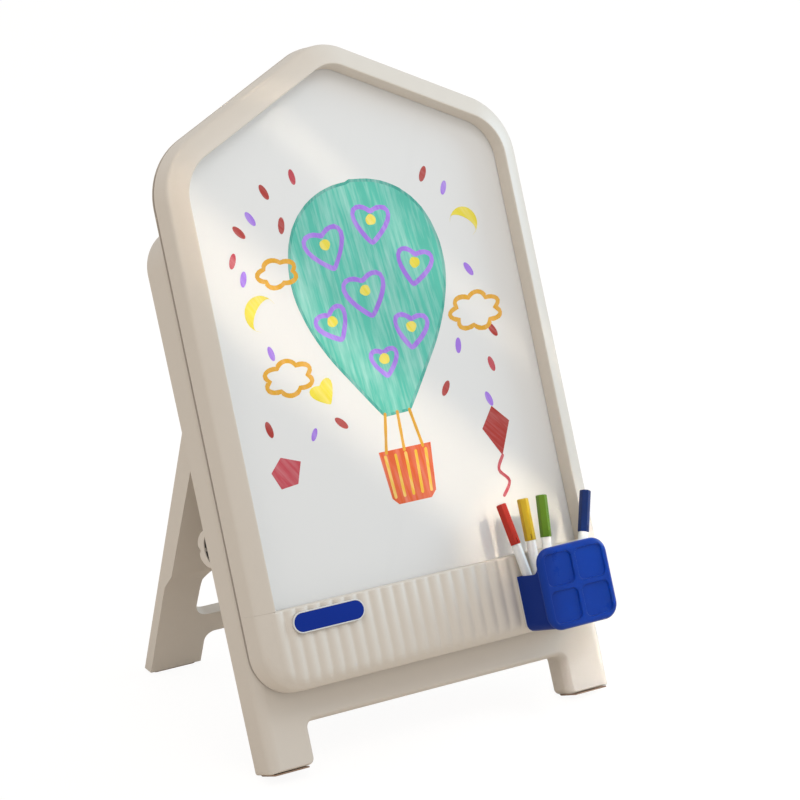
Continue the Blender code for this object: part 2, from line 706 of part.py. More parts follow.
def stand_guides(plane):
    """Make the guide solids of the stand's bays, window and holes."""
    deep = -(STAND_DEPTH + STAND_DEPTH_GAIN) - OVERRUN
    web = -STAND_WEB
    rail_low = RAIL_BOTTOM + STAND_WALL
    top_low = LEG_BAY_TOP + STAND_WALL
    bays = (
        ("guide_leg_bay", LEG_BAY_HALF_WIDTH, RAIL_TOP, LEG_BAY_TOP, LEG_BAY_RADIUS, web),
        ("guide_rail_bay", FOOT_INNER, rail_low, RAIL_TOP - STAND_WALL, LEG_BAY_RADIUS, web),
        ("guide_top_bay", LEG_BAY_HALF_WIDTH, top_low, STAND_TOP - STAND_WALL, STAND_TOP_RADIUS / 2, web),
        ("guide_window", WINDOW_HALF_WIDTH, RAIL_TOP + WINDOW_SILL, WINDOW_TOP, WINDOW_RADIUS, OVERRUN),
    )
    tools = []
    for name, half, low, high, radius, front in bays:
        outline = box_outline(-half, half, low, high, radius, 3)
        tools.append(cutter(name, loft(name, (level(outline, deep), level(outline, front))), plane))
    for index, (u, v) in enumerate(screw_places()):
        ring = circle(SCREW_SHANK_RADIUS + SCREW_HOLE_GAP, ROUND_STEPS, (u, v))
        name = f"guide_stand_hole_{index + 1}"
        rings = (level(ring, web - OVERRUN), level(ring, OVERRUN))
        tools.append(cutter(name, loft(name, rings), plane))
    for side, name in ((-1, "guide_pin_left"), (1, "guide_pin_right")):
        inner = LEG_BAY_HALF_WIDTH - OVERRUN
        outer = LEG_BAY_HALF_WIDTH + PIN_IN_POST + GAP
        low, high = sorted((side * inner, side * outer))
        ring = circle(PIN_RADIUS + PIN_BORE_GAP, ROUND_STEPS, (PIVOT_UP, -PIVOT_DEPTH))
        tools.append(cutter(name, loft(name, along_u(ring, low, high)), plane))
    tools.append(knob_bore(plane))
    return tools


def screw_places():
    """Return where the six board screws go through the stand's web."""
    side_u = (WINDOW_HALF_WIDTH + LEG_BAY_HALF_WIDTH) / 2
    bay = LEG_BAY_TOP - RAIL_TOP
    places = []
    for share in SCREW_SIDE_HEIGHT_SHARES:
        v = RAIL_TOP + bay * share
        places += [(-side_u, v), (side_u, v)]
    top_v = (LEG_BAY_TOP + STAND_TOP) / 2
    places += [(-WINDOW_HALF_WIDTH * SCREW_TOP_SHARE, top_v), (WINDOW_HALF_WIDTH * SCREW_TOP_SHARE, top_v)]
    return places


def board_screws(plane, looks, board):
    """Make the screws from the stand into the board, and their holes in the board."""
    head_top = -STAND_WEB - GAP
    tip = SCREW_BITE
    for index, (u, v) in enumerate(screw_places()):
        shank = circle(SCREW_SHANK_RADIUS, ROUND_STEPS, (u, v))
        head = circle(SCREW_HEAD_RADIUS, ROUND_STEPS, (u, v))
        rim = circle(SCREW_HEAD_RADIUS - SCREW_HEAD_HEIGHT / 3, ROUND_STEPS, (u, v))
        rings = (
            level(rim, head_top - SCREW_HEAD_HEIGHT),
            level(head, head_top - SCREW_HEAD_HEIGHT * 2 / 3),
            level(head, head_top),
            level(shank, head_top),
            level(shank, tip),
        )
        name = f"board_screw_{index + 1}"
        place(name, loft(name, rings), looks["steel"], plane, smooth_angle=40)
        hole = circle(SCREW_SHANK_RADIUS + SCREW_HOLE_GAP, ROUND_STEPS, (u, v))
        guide = f"guide_board_hole_{index + 1}"
        tool = cutter(guide, loft(guide, (level(hole, -OVERRUN), level(hole, tip + GAP))), plane)
        carve(board["board_back"], tool)
        carve(board["board_core"], tool)


def knob_seat():
    """Return the knob's axis in the board plane and the level of its base."""
    u = -STAND_HALF_WIDTH + KNOB_OUTER_INSET + KNOB_THICKNESS / 2
    base = -stand_depth(KNOB_UP + KNOB_HALF_LENGTH) - GAP
    return u, KNOB_UP, base


def knob_bore(plane):
    """Make the guide for the knob's bolt hole in the post."""
    u, v, base = knob_seat()
    ring = circle(KNOB_BOLT_RADIUS + PIN_BORE_GAP, ROUND_STEPS, (u, v))
    rings = (level(ring, base - OVERRUN), level(ring, base + KNOB_BOLT_IN_POST + GAP))
    return cutter("guide_knob_bore", loft("guide_knob_bore", rings), plane)


def wing_knob(plane, looks):
    """Make the wing knob on the back of the left post, and the bolt it turns on."""
    u, v, base = knob_seat()
    axis = empty("wing_knob_axis", plane, Matrix.Translation((u, v, base)))
    half = KNOB_THICKNESS / 2
    outline = [(KNOB_HALF_LENGTH * a, -KNOB_HEIGHT * b) for a, b in KNOB_OUTLINE_SHARES]
    slim = 1 - KNOB_EDGE / KNOB_HALF_LENGTH
    middle = -KNOB_HEIGHT / 2
    small = [(p[0] * slim, middle + (p[1] - middle) * slim) for p in outline]
    rings = []
    for ring, place_u in ((small, -half), (outline, KNOB_EDGE - half), (outline, half - KNOB_EDGE), (small, half)):
        rings.append([Vector((place_u, p[0], p[1])) for p in ring])
    knob = place("wing_knob", loft("wing_knob", rings), looks["beige"], axis, smooth_angle=40)
    head_low = -KNOB_HEIGHT - OVERRUN
    head_seat = -KNOB_HEIGHT + KNOB_BOLT_HEAD_DEPTH
    wide = circle(KNOB_BOLT_HEAD_RADIUS + PIN_BORE_GAP, ROUND_STEPS)
    narrow = circle(KNOB_BOLT_RADIUS + PIN_BORE_GAP, ROUND_STEPS)
    bore = (
        level(wide, head_low),
        level(wide, head_seat + GAP),
        level(narrow, head_seat + GAP),
        level(narrow, OVERRUN),
    )
    carve(knob, cutter("guide_knob", loft("guide_knob", bore), axis))
    head = circle(KNOB_BOLT_HEAD_RADIUS, ROUND_STEPS)
    shank = circle(KNOB_BOLT_RADIUS, ROUND_STEPS)
    head_top = head_seat
    rings = (
        level(head, head_top - KNOB_BOLT_HEAD_DEPTH / 2),
        level(head, head_top),
        level(shank, head_top),
        level(shank, KNOB_BOLT_IN_POST),
    )
    place("knob_bolt", loft("knob_bolt", rings), looks["steel"], axis, smooth_angle=40)


def leg_floor(s):
    """Return where the floor side of the leg's foot lies, at a depth s of the leg."""
    lift = PAD_THICKNESS + GAP + s * math.sin(LEG_LEAN)
    return (lift - PIVOT_HEIGHT) / math.cos(LEG_LEAN)


def leg_profile(shrink, skin):
    """Return the leg's side profile in (w, s), smaller by a rim and under a skin."""
    low = -LEG_REACH
    thin = LEG_THIN - LEG_BACK - skin
    step = LEG_STEP_THICKNESS - LEG_BACK - skin
    thick = LEG_FRONT - skin
    back = -LEG_BACK - (OVERRUN if skin else 0.0)
    foot = leg_floor(-LEG_BACK) + shrink
    foot_front = leg_floor(LEG_THIN - LEG_BACK) + shrink
    top = LEG_TAIL - shrink
    return [
        (foot, back),
        (top, back),
        (top, thick),
        (low + STEP_HIGH + skin / 2, step),
        (low + STEP_LOW + skin / 2, thin),
        (foot_front, thin),
    ]


def leg_outline(rim):
    """Return the leg's front view in (u, w), with its arch between the feet."""
    low = leg_floor(-LEG_BACK) - OVERRUN
    floor = -LEG_REACH
    corners = (
        (-LEG_HALF_WIDTH, low),
        (-LEG_FOOT_INNER, low),
        (-LEG_FOOT_INNER, floor + LEG_ARCH_HEIGHT),
        (LEG_FOOT_INNER, floor + LEG_ARCH_HEIGHT),
        (LEG_FOOT_INNER, low),
        (LEG_HALF_WIDTH, low),
        (LEG_HALF_WIDTH, LEG_TAIL),
        (-LEG_HALF_WIDTH, LEG_TAIL),
    )
    foot = LEG_FOOT_RADIUS
    arch = LEG_ARCH_RADIUS
    top = LEG_TOP_RADIUS
    radii = (foot, foot, arch, arch, foot, foot, top, top)
    return rounded_outline(corners, radii, (rim,) * 8, (0, 0, 4, 4, 0, 0, 5, 5))


def leg_opening(rim):
    """Return the opening above the leg's cross bar, narrower towards its top."""
    floor = -LEG_REACH
    wide = LEG_OPENING_HALF_WIDTH
    narrow = wide - LEG_OPENING_TAPER
    low = floor + LEG_OPENING_SILL
    high = floor + LEG_OPENING_TOP
    corners = ((-wide, low), (wide, low), (narrow, high), (-narrow, high))
    radii = (LEG_OPENING_LOW_RADIUS,) * 2 + (LEG_OPENING_TOP_RADIUS,) * 2
    return rounded_outline(corners, radii, (-rim,) * 4, (4, 4, 8, 8))


def leg_prism(name, outline, parent, low=None, high=None):
    """Make a guide prism through the leg from its front view."""
    low = -LEG_BACK - 2 * OVERRUN if low is None else low
    high = LEG_FRONT + 2 * OVERRUN if high is None else high
    return cutter(name, loft(name, (level(outline, low), level(outline, high))), parent)


def rear_leg(hinge, looks):
    """Make the rear leg: a stepped panel with an arch, an opening and a hollow back."""
    profile = leg_profile(0.0, 0.0)
    width = LEG_HALF_WIDTH + OVERRUN
    mesh = loft("rear_leg", along_u(profile, -width, width))
    result = place("rear_leg", mesh, looks["beige"], hinge, smooth_angle=30)
    carve(result, leg_prism("guide_leg_shape", leg_outline(0.0), hinge), "INTERSECT")
    carve(result, leg_prism("guide_leg_opening", leg_opening(0.0), hinge))
    carve(result, leg_hollow(hinge))
    for side, name in ((-1, "guide_leg_pin_left"), (1, "guide_leg_pin_right")):
        inner = LEG_HALF_WIDTH - PIN_IN_LEG - GAP
        outer = LEG_HALF_WIDTH + OVERRUN
        low, high = sorted((side * inner, side * outer))
        ring = circle(PIN_RADIUS + PIN_BORE_GAP, ROUND_STEPS)
        carve(result, cutter(name, loft(name, along_u(ring, low, high)), hinge))
    return result


def leg_hollow(hinge):
    """Make the guide solid that hollows the leg's back and leaves ribs."""
    profile = leg_profile(LEG_RIM, LEG_SKIN)
    bearing = PIN_IN_LEG + LEG_RIM
    top = -PIN_RADIUS - LEG_RIM
    profile[1] = (top, profile[1][1])
    profile[2] = (top, profile[2][1])
    width = LEG_HALF_WIDTH - bearing
    hollow = cutter("guide_leg_hollow", loft("guide_leg_hollow", along_u(profile, -width, width)), hinge)
    carve(hollow, leg_prism("guide_hollow_rim", leg_outline(LEG_RIM), hinge), "INTERSECT")
    carve(hollow, leg_prism("guide_opening_rim", leg_opening(LEG_RIM), hinge))
    spacing = 2 * width / (LEG_RIB_COUNT + 1)
    for index in range(LEG_RIB_COUNT):
        u = -width + spacing * (index + 1)
        outline = box_outline(u - LEG_RIB / 2, u + LEG_RIB / 2, -LEG_REACH, LEG_TAIL, LEG_RIB / 4, 0)
        carve(hollow, leg_prism(f"guide_leg_rib_{index + 1}", outline, hinge))
    return hollow


def hinge_pins(hinge, looks):
    """Make the two pins that the rear leg swings on."""
    inner = LEG_HALF_WIDTH - PIN_IN_LEG
    outer = LEG_BAY_HALF_WIDTH + PIN_IN_POST
    rod("hinge_pin_left", hinge, looks["steel"], -outer, -inner, 0, 0, PIN_RADIUS)
    rod("hinge_pin_right", hinge, looks["steel"], inner, outer, 0, 0, PIN_RADIUS)


def foot_pads(root, plane, looks):
    """Make the rubber pads under the two front and two rear feet."""
    sole = -PAD_TOP - PAD_THICKNESS
    heel = PAD_THICKNESS / math.tan(BOARD_LEAN)
    profile = (
        (-PAD_TOP, -PAD_HEEL),
        (-PAD_TOP, -PAD_FRONT),
        (sole, -PAD_FRONT),
        (sole, heel - PAD_HEEL),
    )
    inner = FOOT_INNER + FOOT_INNER_RADIUS
    outer = STAND_HALF_WIDTH - PAD_MARGIN
    for side, hand in ((-1, "left"), (1, "right")):
        left, right = sorted((side * inner, side * outer))
        name = f"foot_pad_front_{hand}"
        place(name, loft(name, along_u(profile, left, right)), looks["rubber"], plane)
    pivot_y = PIVOT_UP * math.sin(BOARD_LEAN) + PIVOT_DEPTH * math.cos(BOARD_LEAN)
    ends = []
    for s in (LEG_THIN - LEG_BACK, -LEG_BACK):
        ends.append(pivot_y - leg_floor(s) * math.sin(LEG_LEAN) - s * math.cos(LEG_LEAN))
    low = ends[0] + PAD_BACK / 2
    high = ends[1] - PAD_BACK / 2
    for side, hand in ((-1, "left"), (1, "right")):
        near = LEG_FOOT_INNER + PAD_MARGIN
        far = LEG_HALF_WIDTH - PAD_MARGIN
        left, right = sorted((side * near, side * far))
        outline = box_outline(left, right, low, high, min(PAD_RADIUS, (high - low) / 3), 3)
        name = f"foot_pad_rear_{hand}"
        rings = (level(outline, 0.0), level(outline, PAD_THICKNESS))
        place(name, loft(name, rings), looks["rubber"], root, smooth_angle=40)


def pen_box(plane, looks):
    """Make the pen box: tray, window-like front plate, back pad and magnets."""
    back = RIB_CREST + GAP
    seat = empty("pen_box_seat", plane, Matrix.Translation((BOX_CENTRE_U, BOX_BOTTOM, back)))
    box_tray(seat, looks)
    box_pad(seat, looks)
    box_plate(seat, looks)
    return seat


def box_tray(seat, looks):
    """Make the open tray, whose front wall stands taller than its sides."""
    half = BOX_WIDTH / 2
    low = BOX_PAD_THICKNESS + GAP
    high = low + BOX_DEPTH
    outline = box_outline(-half, half, 0.0, BOX_FRONT_HEIGHT, BOX_CORNER_RADIUS, 4)
    mesh = loft("pen_box_tray", (level(outline, low), level(outline, high)))
    tray = place("pen_box_tray", mesh, looks["blue"], seat, smooth_angle=35)
    inner = half - BOX_WALL
    top = BOX_FRONT_HEIGHT + OVERRUN
    radius = BOX_CORNER_RADIUS - BOX_WALL
    corners = ((-inner, BOX_FLOOR), (inner, BOX_FLOOR), (inner, top), (-inner, top))
    hollow = rounded_outline(corners, (radius, radius, 0, 0), (0,) * 4, (4, 4, 0, 0))
    rings = (level(hollow, low + BOX_WALL), level(hollow, high - BOX_WALL))
    carve(tray, cutter("guide_box_hollow", loft("guide_box_hollow", rings), seat))
    rim = [
        (top, low - OVERRUN),
        (BOX_SIDE_HEIGHT, low - OVERRUN),
        (BOX_SIDE_HEIGHT, high - BOX_WALL - BOX_FILLET),
    ]
    for k in range(1, 6):
        angle = math.pi / 2 * k / 5
        rise = BOX_SIDE_HEIGHT + BOX_FILLET * (1 - math.cos(angle))
        rim.append((rise, high - BOX_WALL - BOX_FILLET + BOX_FILLET * math.sin(angle)))
    rim.append((top, high - BOX_WALL))
    wide = half + OVERRUN
    carve(tray, cutter("guide_box_rim", loft("guide_box_rim", along_u(rim, -wide, wide)), seat))


def box_pad(seat, looks):
    """Make the thin carrier behind the tray and the two magnets in it."""
    half = BOX_WIDTH / 2
    outline = box_outline(-half, half, 0.0, BOX_SIDE_HEIGHT, BOX_CORNER_RADIUS, 4)
    mesh = loft("pen_box_pad", (level(outline, 0.0), level(outline, BOX_PAD_THICKNESS)))
    pad = place("pen_box_pad", mesh, looks["white"], seat)
    spread = BOX_WIDTH * MAGNET_SPREAD_SHARE
    v = BOX_SIDE_HEIGHT * MAGNET_HEIGHT_SHARE
    for side, hand in ((-1, "left"), (1, "right")):
        ring = circle(MAGNET_RADIUS, 16, (side * spread, v))
        hole = circle(MAGNET_RADIUS + GAP, 16, (side * spread, v))
        low = (BOX_PAD_THICKNESS - MAGNET_THICKNESS) / 2
        guide = f"guide_magnet_{hand}"
        tool = cutter(guide, loft(guide, (level(hole, -OVERRUN), level(hole, OVERRUN))), seat)
        carve(pad, tool)
        name = f"box_magnet_{hand}"
        rings = (level(ring, low), level(ring, low + MAGNET_THICKNESS))
        place(name, loft(name, rings), looks["steel"], seat, smooth_angle=40)


def box_plate(seat, looks):
    """Make the front plate, with four recessed panes like a window."""
    half = PLATE_SIZE / 2
    low = BOX_PAD_THICKNESS + BOX_DEPTH + 2 * GAP
    bottom = -PLATE_DROP
    rings = [level(box_outline(-half, half, bottom, bottom + PLATE_SIZE, PLATE_RADIUS, 5, PLATE_EDGE / 3), low)]
    for step in range(4):
        angle = math.pi / 2 * step / 3
        inset = PLATE_EDGE * (1 - math.cos(angle))
        height = low + PLATE_THICKNESS - PLATE_EDGE * (1 - math.sin(angle))
        outline = box_outline(-half, half, bottom, bottom + PLATE_SIZE, PLATE_RADIUS, 5, inset)
        rings.append(level(outline, height))
    plate = place("pen_box_front", loft("pen_box_front", rings), looks["blue"], seat, smooth_angle=40)
    pane = (PLATE_SIZE - 2 * PLATE_RIM - PLATE_BAR) / 2
    top = low + PLATE_THICKNESS
    for row in range(2):
        for column in range(2):
            left = -half + PLATE_RIM + column * (pane + PLATE_BAR)
            base = bottom + PLATE_RIM + row * (pane + PLATE_BAR)
            rings = (
                level(box_outline(left, left + pane, base, base + pane, PANE_RADIUS, 3, PANE_DRAFT), top - PANE_DEPTH),
                level(box_outline(left, left + pane, base, base + pane, PANE_RADIUS, 3), top + PANE_DEPTH),
            )
            name = f"guide_pane_{row + 1}_{column + 1}"
            carve(plate, cutter(name, loft(name, rings), seat))


def marker_frame(seat, across_share, depth_share, lean_right, lean_back):
    """Return the matrix of a marker that stands in the pen box on its foot."""
    inner = BOX_WIDTH / 2 - BOX_WALL
    back = BOX_PAD_THICKNESS + GAP + BOX_WALL
    front = BOX_PAD_THICKNESS + GAP + BOX_DEPTH - BOX_WALL
    right = math.tan(math.radians(lean_right))
    towards = math.tan(math.radians(lean_back))
    axis = Vector((right, 1, -towards)).normalized()
    tip = math.sqrt(1 - axis.y * axis.y) * BARREL_RADIUS
    foot = Vector((-inner + 2 * inner * across_share, BOX_FLOOR + GAP + tip, back + (front - back) * depth_share))
    side = axis.cross(Vector((0, 0, 1))).normalized()
    third = axis.cross(side)
    matrix = Matrix((side, third, axis)).transposed().to_4x4()
    return Matrix.Translation(foot) @ matrix


def marker(seat, looks, name, look, frame):
    """Make one marker: end plug, barrel, nib and cap."""
    carrier = empty(f"marker_{name}_axis", seat, frame)

    def ring(radius, height):
        return level(circle(radius, MARKER_SIDES), height)

    plug = (
        ring(BARREL_RADIUS - EDGE_ROUND * 2, 0.0),
        ring(BARREL_RADIUS - EDGE_ROUND, EDGE_ROUND),
        ring(BARREL_RADIUS - EDGE_ROUND, PLUG_FLANGE),
        ring(PLUG_SPIGOT_RADIUS, PLUG_FLANGE),
        ring(PLUG_SPIGOT_RADIUS, PLUG_TOP),
    )
    place(f"marker_{name}_plug", loft("plug", plug), looks["white"], carrier, smooth_angle=35)
    shoulder = CAP_START - GAP
    neck_top = CAP_START + NECK_LENGTH
    barrel = (
        ring(PLUG_SPIGOT_RADIUS + GAP, PLUG_TOP + GAP),
        ring(PLUG_SPIGOT_RADIUS + GAP, PLUG_FLANGE + GAP),
        ring(BARREL_RADIUS - EDGE_ROUND, PLUG_FLANGE + GAP),
        ring(BARREL_RADIUS, PLUG_FLANGE + GAP + EDGE_ROUND),
        ring(BARREL_RADIUS, shoulder),
        ring(NECK_RADIUS, shoulder),
        ring(NECK_RADIUS, neck_top),
        ring(NIB_RADIUS + GAP, neck_top),
        ring(NIB_RADIUS + GAP, neck_top - NIB_SEAT - GAP),
    )
    place(f"marker_{name}_barrel", loft("barrel", barrel), looks["white"], carrier, smooth_angle=35)
    nib = (
        ring(NIB_RADIUS, neck_top - NIB_SEAT),
        ring(NIB_RADIUS, neck_top + NIB_LENGTH / 2),
        ring(NIB_TIP_RADIUS, neck_top + NIB_LENGTH),
    )
    place(f"marker_{name}_nib", loft("nib", nib), look, carrier, smooth_angle=35)
    turned = Matrix.Rotation(CAP_TURN_SHARES[name] * math.pi / 3, 4, "Z")
    start = Matrix.Translation((0, 0, CAP_START)) @ turned
    cap_axis = empty(f"marker_{name}_cap_axis", carrier, start)
    place(f"marker_{name}_cap", loft("cap", cap_rings()), look, cap_axis, smooth_angle=35)


def cap_rings():
    """Return the rings of a cap: its bore, then its six-sided outside and crown."""
    corner = CAP_FLATS / math.sqrt(3)
    corners = [(corner * math.cos(math.pi / 3 * i), corner * math.sin(math.pi / 3 * i)) for i in range(6)]

    def outside(inset, height):
        outline = rounded_outline(corners, (CAP_CORNER_RADIUS,) * 6, (inset,) * 6, (1,) * 6)
        return level(outline, height)

    def bore(height):
        reach = [CAP_BORE_RADIUS * p.to_2d().normalized() for p in outside(0, 0)]
        return level(reach, height)

    rings = [bore(CAP_BORE_DEPTH), bore(0.0), outside(EDGE_ROUND, 0.0), outside(0.0, EDGE_ROUND)]
    for step in range(4):
        angle = math.pi / 2 * step / 4
        inset = CAP_CROWN * (1 - math.cos(angle))
        rings.append(outside(inset, CAP_LENGTH - CAP_CROWN * (1 - math.sin(angle))))
    return rings


def centre_on_floor(root):
    """Move the whole object so that its box is centred over the origin."""
    bpy.context.view_layer.update()
    graph = bpy.context.evaluated_depsgraph_get()
    low = Vector((math.inf, math.inf))
    high = Vector((-math.inf, -math.inf))
    for item in bpy.context.scene.objects:
        if item.type != "MESH" or item.hide_render:
            continue
        shape = item.evaluated_get(graph)
        for vert in shape.data.vertices:
            spot = item.matrix_world @ vert.co
            low = Vector((min(low.x, spot.x), min(low.y, spot.y)))
            high = Vector((max(high.x, spot.x), max(high.y, spot.y)))
    middle = (low + high) / 2
    root.location = (-middle.x, -middle.y, 0)
    bpy.context.view_layer.update()


def print_axes(plane, hinge, seat):
    """Print the joints' places and directions in the object's frame."""
    normal = plane.matrix_world.to_3x3() @ Vector((0, 0, 1))
    print("board normal", [round(x, 5) for x in normal])
    print("leg hinge", [round(x, 5) for x in hinge.matrix_world.translation])
    for item in bpy.context.scene.objects:
        if item.type == "EMPTY" and item.name.endswith("axis"):
            spot = item.matrix_world.translation
            along = item.matrix_world.to_3x3() @ Vector((0, 0, 1))
            print(item.name, [round(x, 5) for x in spot], [round(x, 5) for x in along])


def build():
    """Build the whole object."""
    for item in list(bpy.data.objects):
        bpy.data.objects.remove(item)
    looks = {
        "beige": material("beige_plastic", PLASTIC_BEIGE, 0.42),
        "white": material("white_plastic", WHITE, 0.30),
        "blue": material("blue_plastic", BOX_BLUE, 0.35),
        "badge_blue": material("badge_blue", BADGE_BLUE, 0.25),
        "rubber": material("brown_rubber", RUBBER_BROWN, 0.80),
        "steel": material("steel", STEEL, 0.35, 1.0),
        "core": material("board_core", CARD_BROWN, 0.75),
    }
    root = empty("drawing_board")
    lean = Matrix.Rotation(math.pi / 2 - BOARD_LEAN, 4, "X")
    plane = empty("board_plane", root, Matrix.Translation((0, 0, PLANE_LIFT)) @ lean)
    pivot_y = PIVOT_UP * math.sin(BOARD_LEAN) + PIVOT_DEPTH * math.cos(BOARD_LEAN)
    turn = Matrix.Rotation(math.pi / 2 + LEG_LEAN, 4, "X")
    hinge = empty("leg_hinge", root, Matrix.Translation((0, pivot_y, PIVOT_HEIGHT)) @ turn)
    board = board_sheets(plane, looks)
    board_frame(plane, looks)
    apron(plane, looks)
    badge(plane, looks)
    front_stand(plane, looks)
    board_screws(plane, looks, board)
    wing_knob(plane, looks)
    rear_leg(hinge, looks)
    hinge_pins(hinge, looks)
    foot_pads(root, plane, looks)
    seat = pen_box(plane, looks)
    for name, colour, across, deep, right, back in MARKER_PLACE_SHARES:
        look = material(f"cap_{name}", colour, 0.35)
        marker(seat, looks, name, look, marker_frame(seat, across, deep, right, back))
    centre_on_floor(root)
    print_axes(plane, hinge, seat)


build()
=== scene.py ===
"""Looks of the magnetic drawing board, built round its packed CAD frame."""

import math

import bmesh
import bpy
from bpy.props import FloatProperty, FloatVectorProperty, IntProperty, PointerProperty
from mathutils import Matrix, Vector
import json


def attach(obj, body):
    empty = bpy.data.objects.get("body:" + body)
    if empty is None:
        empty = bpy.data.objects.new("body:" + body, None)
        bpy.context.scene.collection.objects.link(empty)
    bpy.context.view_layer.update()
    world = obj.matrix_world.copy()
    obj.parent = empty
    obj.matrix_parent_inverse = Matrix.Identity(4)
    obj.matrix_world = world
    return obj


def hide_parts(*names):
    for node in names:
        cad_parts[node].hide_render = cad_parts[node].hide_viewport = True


bl_info = {
    "name": "Magnetic drawing board",
    "version": (1, 0, 0),
    "blender": (4, 5, 0),
    "location": "View3D > Sidebar > Drawing board",
    "description": "Makes the dressed pieces of a toy drawing board on a folding stand",
    "category": "Object",
}

MM = 0.001

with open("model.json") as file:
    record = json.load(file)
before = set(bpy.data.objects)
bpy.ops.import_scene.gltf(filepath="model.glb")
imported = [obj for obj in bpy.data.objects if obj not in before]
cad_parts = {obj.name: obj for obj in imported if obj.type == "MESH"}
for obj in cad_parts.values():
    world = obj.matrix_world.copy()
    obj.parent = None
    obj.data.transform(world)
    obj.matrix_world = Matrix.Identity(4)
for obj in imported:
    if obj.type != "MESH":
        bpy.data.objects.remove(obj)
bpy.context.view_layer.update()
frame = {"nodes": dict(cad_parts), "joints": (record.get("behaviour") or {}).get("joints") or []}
NODES = frame["nodes"]
JOINTS = {joint["name"]: joint for joint in frame["joints"]}

# Clearance between neighbouring pieces, and how far cutting tools run past a face
GAP = 0.3 * MM
OVERRUN = 3.0 * MM

# Planes of the board and of the rear leg, from the packed joints
BOARD_NORMAL = Vector(JOINTS["pen_box_pull"]["axis"])
BOARD_LEAN = math.atan2(BOARD_NORMAL.z, -BOARD_NORMAL.y)
HINGE = Vector(JOINTS["leg_hinge"]["pos_m"])
LEG_LEAN = math.radians(16.55)
PIVOT_UP = 384.0 * MM
PIVOT_DEPTH = 39.5 * MM


def turn_x(angle):
    """Return a turn about X."""
    return Matrix.Rotation(angle, 4, "X")


UPRIGHT = turn_x(math.pi / 2 - BOARD_LEAN)
PIVOT_ARM = UPRIGHT @ Vector((0, PIVOT_UP, -PIVOT_DEPTH))
BOARD_PLANE = Matrix.Translation(HINGE - PIVOT_ARM) @ UPRIGHT
LEG_PLANE = Matrix.Translation(HINGE) @ turn_x(math.pi / 2 + LEG_LEAN)


# Properties


def length(label, text, value):
    """Return a length property whose default is given in millimetres."""
    return FloatProperty(name=label, description=text, default=value * MM, unit="LENGTH", precision=4)


def number(label, text, value):
    """Return a plain number property."""
    return FloatProperty(name=label, description=text, default=value)


def colour(label, text, value):
    """Return a colour property."""
    return FloatVectorProperty(
        name=label, description=text, default=value, subtype="COLOR", size=3, min=0.0, max=1.0
    )


class BoardSizes(bpy.types.PropertyGroup):
    """Sizes of the board's frame moulding."""

    half_width: length("Half width", "Half of the board's width", 213.3)
    bottom: length("Bottom", "Height of the board's lower edge along the board", 76.5)
    eave: length("Eave", "Height where the sides end and the roof begins", 632.5)
    roof_rise: length("Roof rise", "Rise from the eaves to the apex", 104.5)
    eave_radius: length("Eave radius", "Radius of the corners at the eaves", 75.0)
    apex_radius: length("Apex radius", "Radius of the apex", 60.0)
    chin_radius: length("Lower radius", "Radius of the two lower corners", 45.0)
    back: length("Back level", "Level of the moulding's back edge", 0.3)
    wall: length("Skirt wall", "Wall of the moulding's skirt", 3.0)
    groove_level: length("Groove level", "Height of the groove round the skirt above its back edge", 0.5)
    groove_depth: length("Groove depth", "Depth of the groove", 2.4)
    groove_height: length("Groove height", "Height of the groove", 3.8)
    draft: length("Side draft", "How much the sides draw in towards the face", 1.8)
    side_height: length("Side height", "Height of the straight sides", 26.0)
    face_width: length("Face width", "Width of the face across the stiles", 22.8)
    roof_share: number("Roof share", "Width of the face along the roof, as a share of the stiles'", 1.13)
    face_height: length("Face height", "Height of the face above the back", 41.0)
    lip_draft: length("Lip draft", "How much the inner lip draws in towards the sheet", 1.3)
    lip_level: length("Lip level", "Level of the inner lip, just above the sheet", 22.3)


class ApronSizes(bpy.types.PropertyGroup):
    """Sizes of the fluted apron and its badge."""

    top: length("Top", "Height of the apron's upper edge along the board", 163.0)
    face: length("Face", "Level of the valleys between the ribs", 39.8)
    pillow: length("Pillow", "Width of the rounded rim", 20.0)
    ribs: IntProperty(name="Ribs", description="How many ribs the apron has", default=27, min=1)
    pitch: length("Pitch", "Distance from rib to rib", 14.43)
    rib_shift: length("Rib shift", "How far the ribs stand left of the middle", 2.2)
    rib_height: length("Rib height", "Height of a rib above its valleys", 1.7)
    end_inset: length("End inset", "Distance from the edge to where the ribs begin", 5.5)
    end_fade: length("End fade", "Length over which the ribs' lower ends rise", 5.5)
    top_fade: length("Top fade", "Length over which the ribs' upper ends rise", 2.2)
    top_round: length("Top round", "Drop of the face at its upper edge", 1.2)
    wall: length("Wall", "Wall of the apron's face", 5.0)
    badge_length: length("Badge length", "Length of the pill-shaped badge", 84.4)
    badge_height: length("Badge height", "Height of the badge", 22.0)
    badge_margin: length("Badge margin", "Distance from the board's side to the badge", 37.2)
    badge_drop: length("Badge drop", "Distance from the apron's top to the badge", 5.5)
    badge_thickness: length("Badge thickness", "Thickness of the badge's rim", 2.2)
    badge_rim: length("Badge rim", "Width of the badge's rim", 1.4)
    badge_recess: length("Badge recess", "Depth of the seat of the badge's face", 0.7)


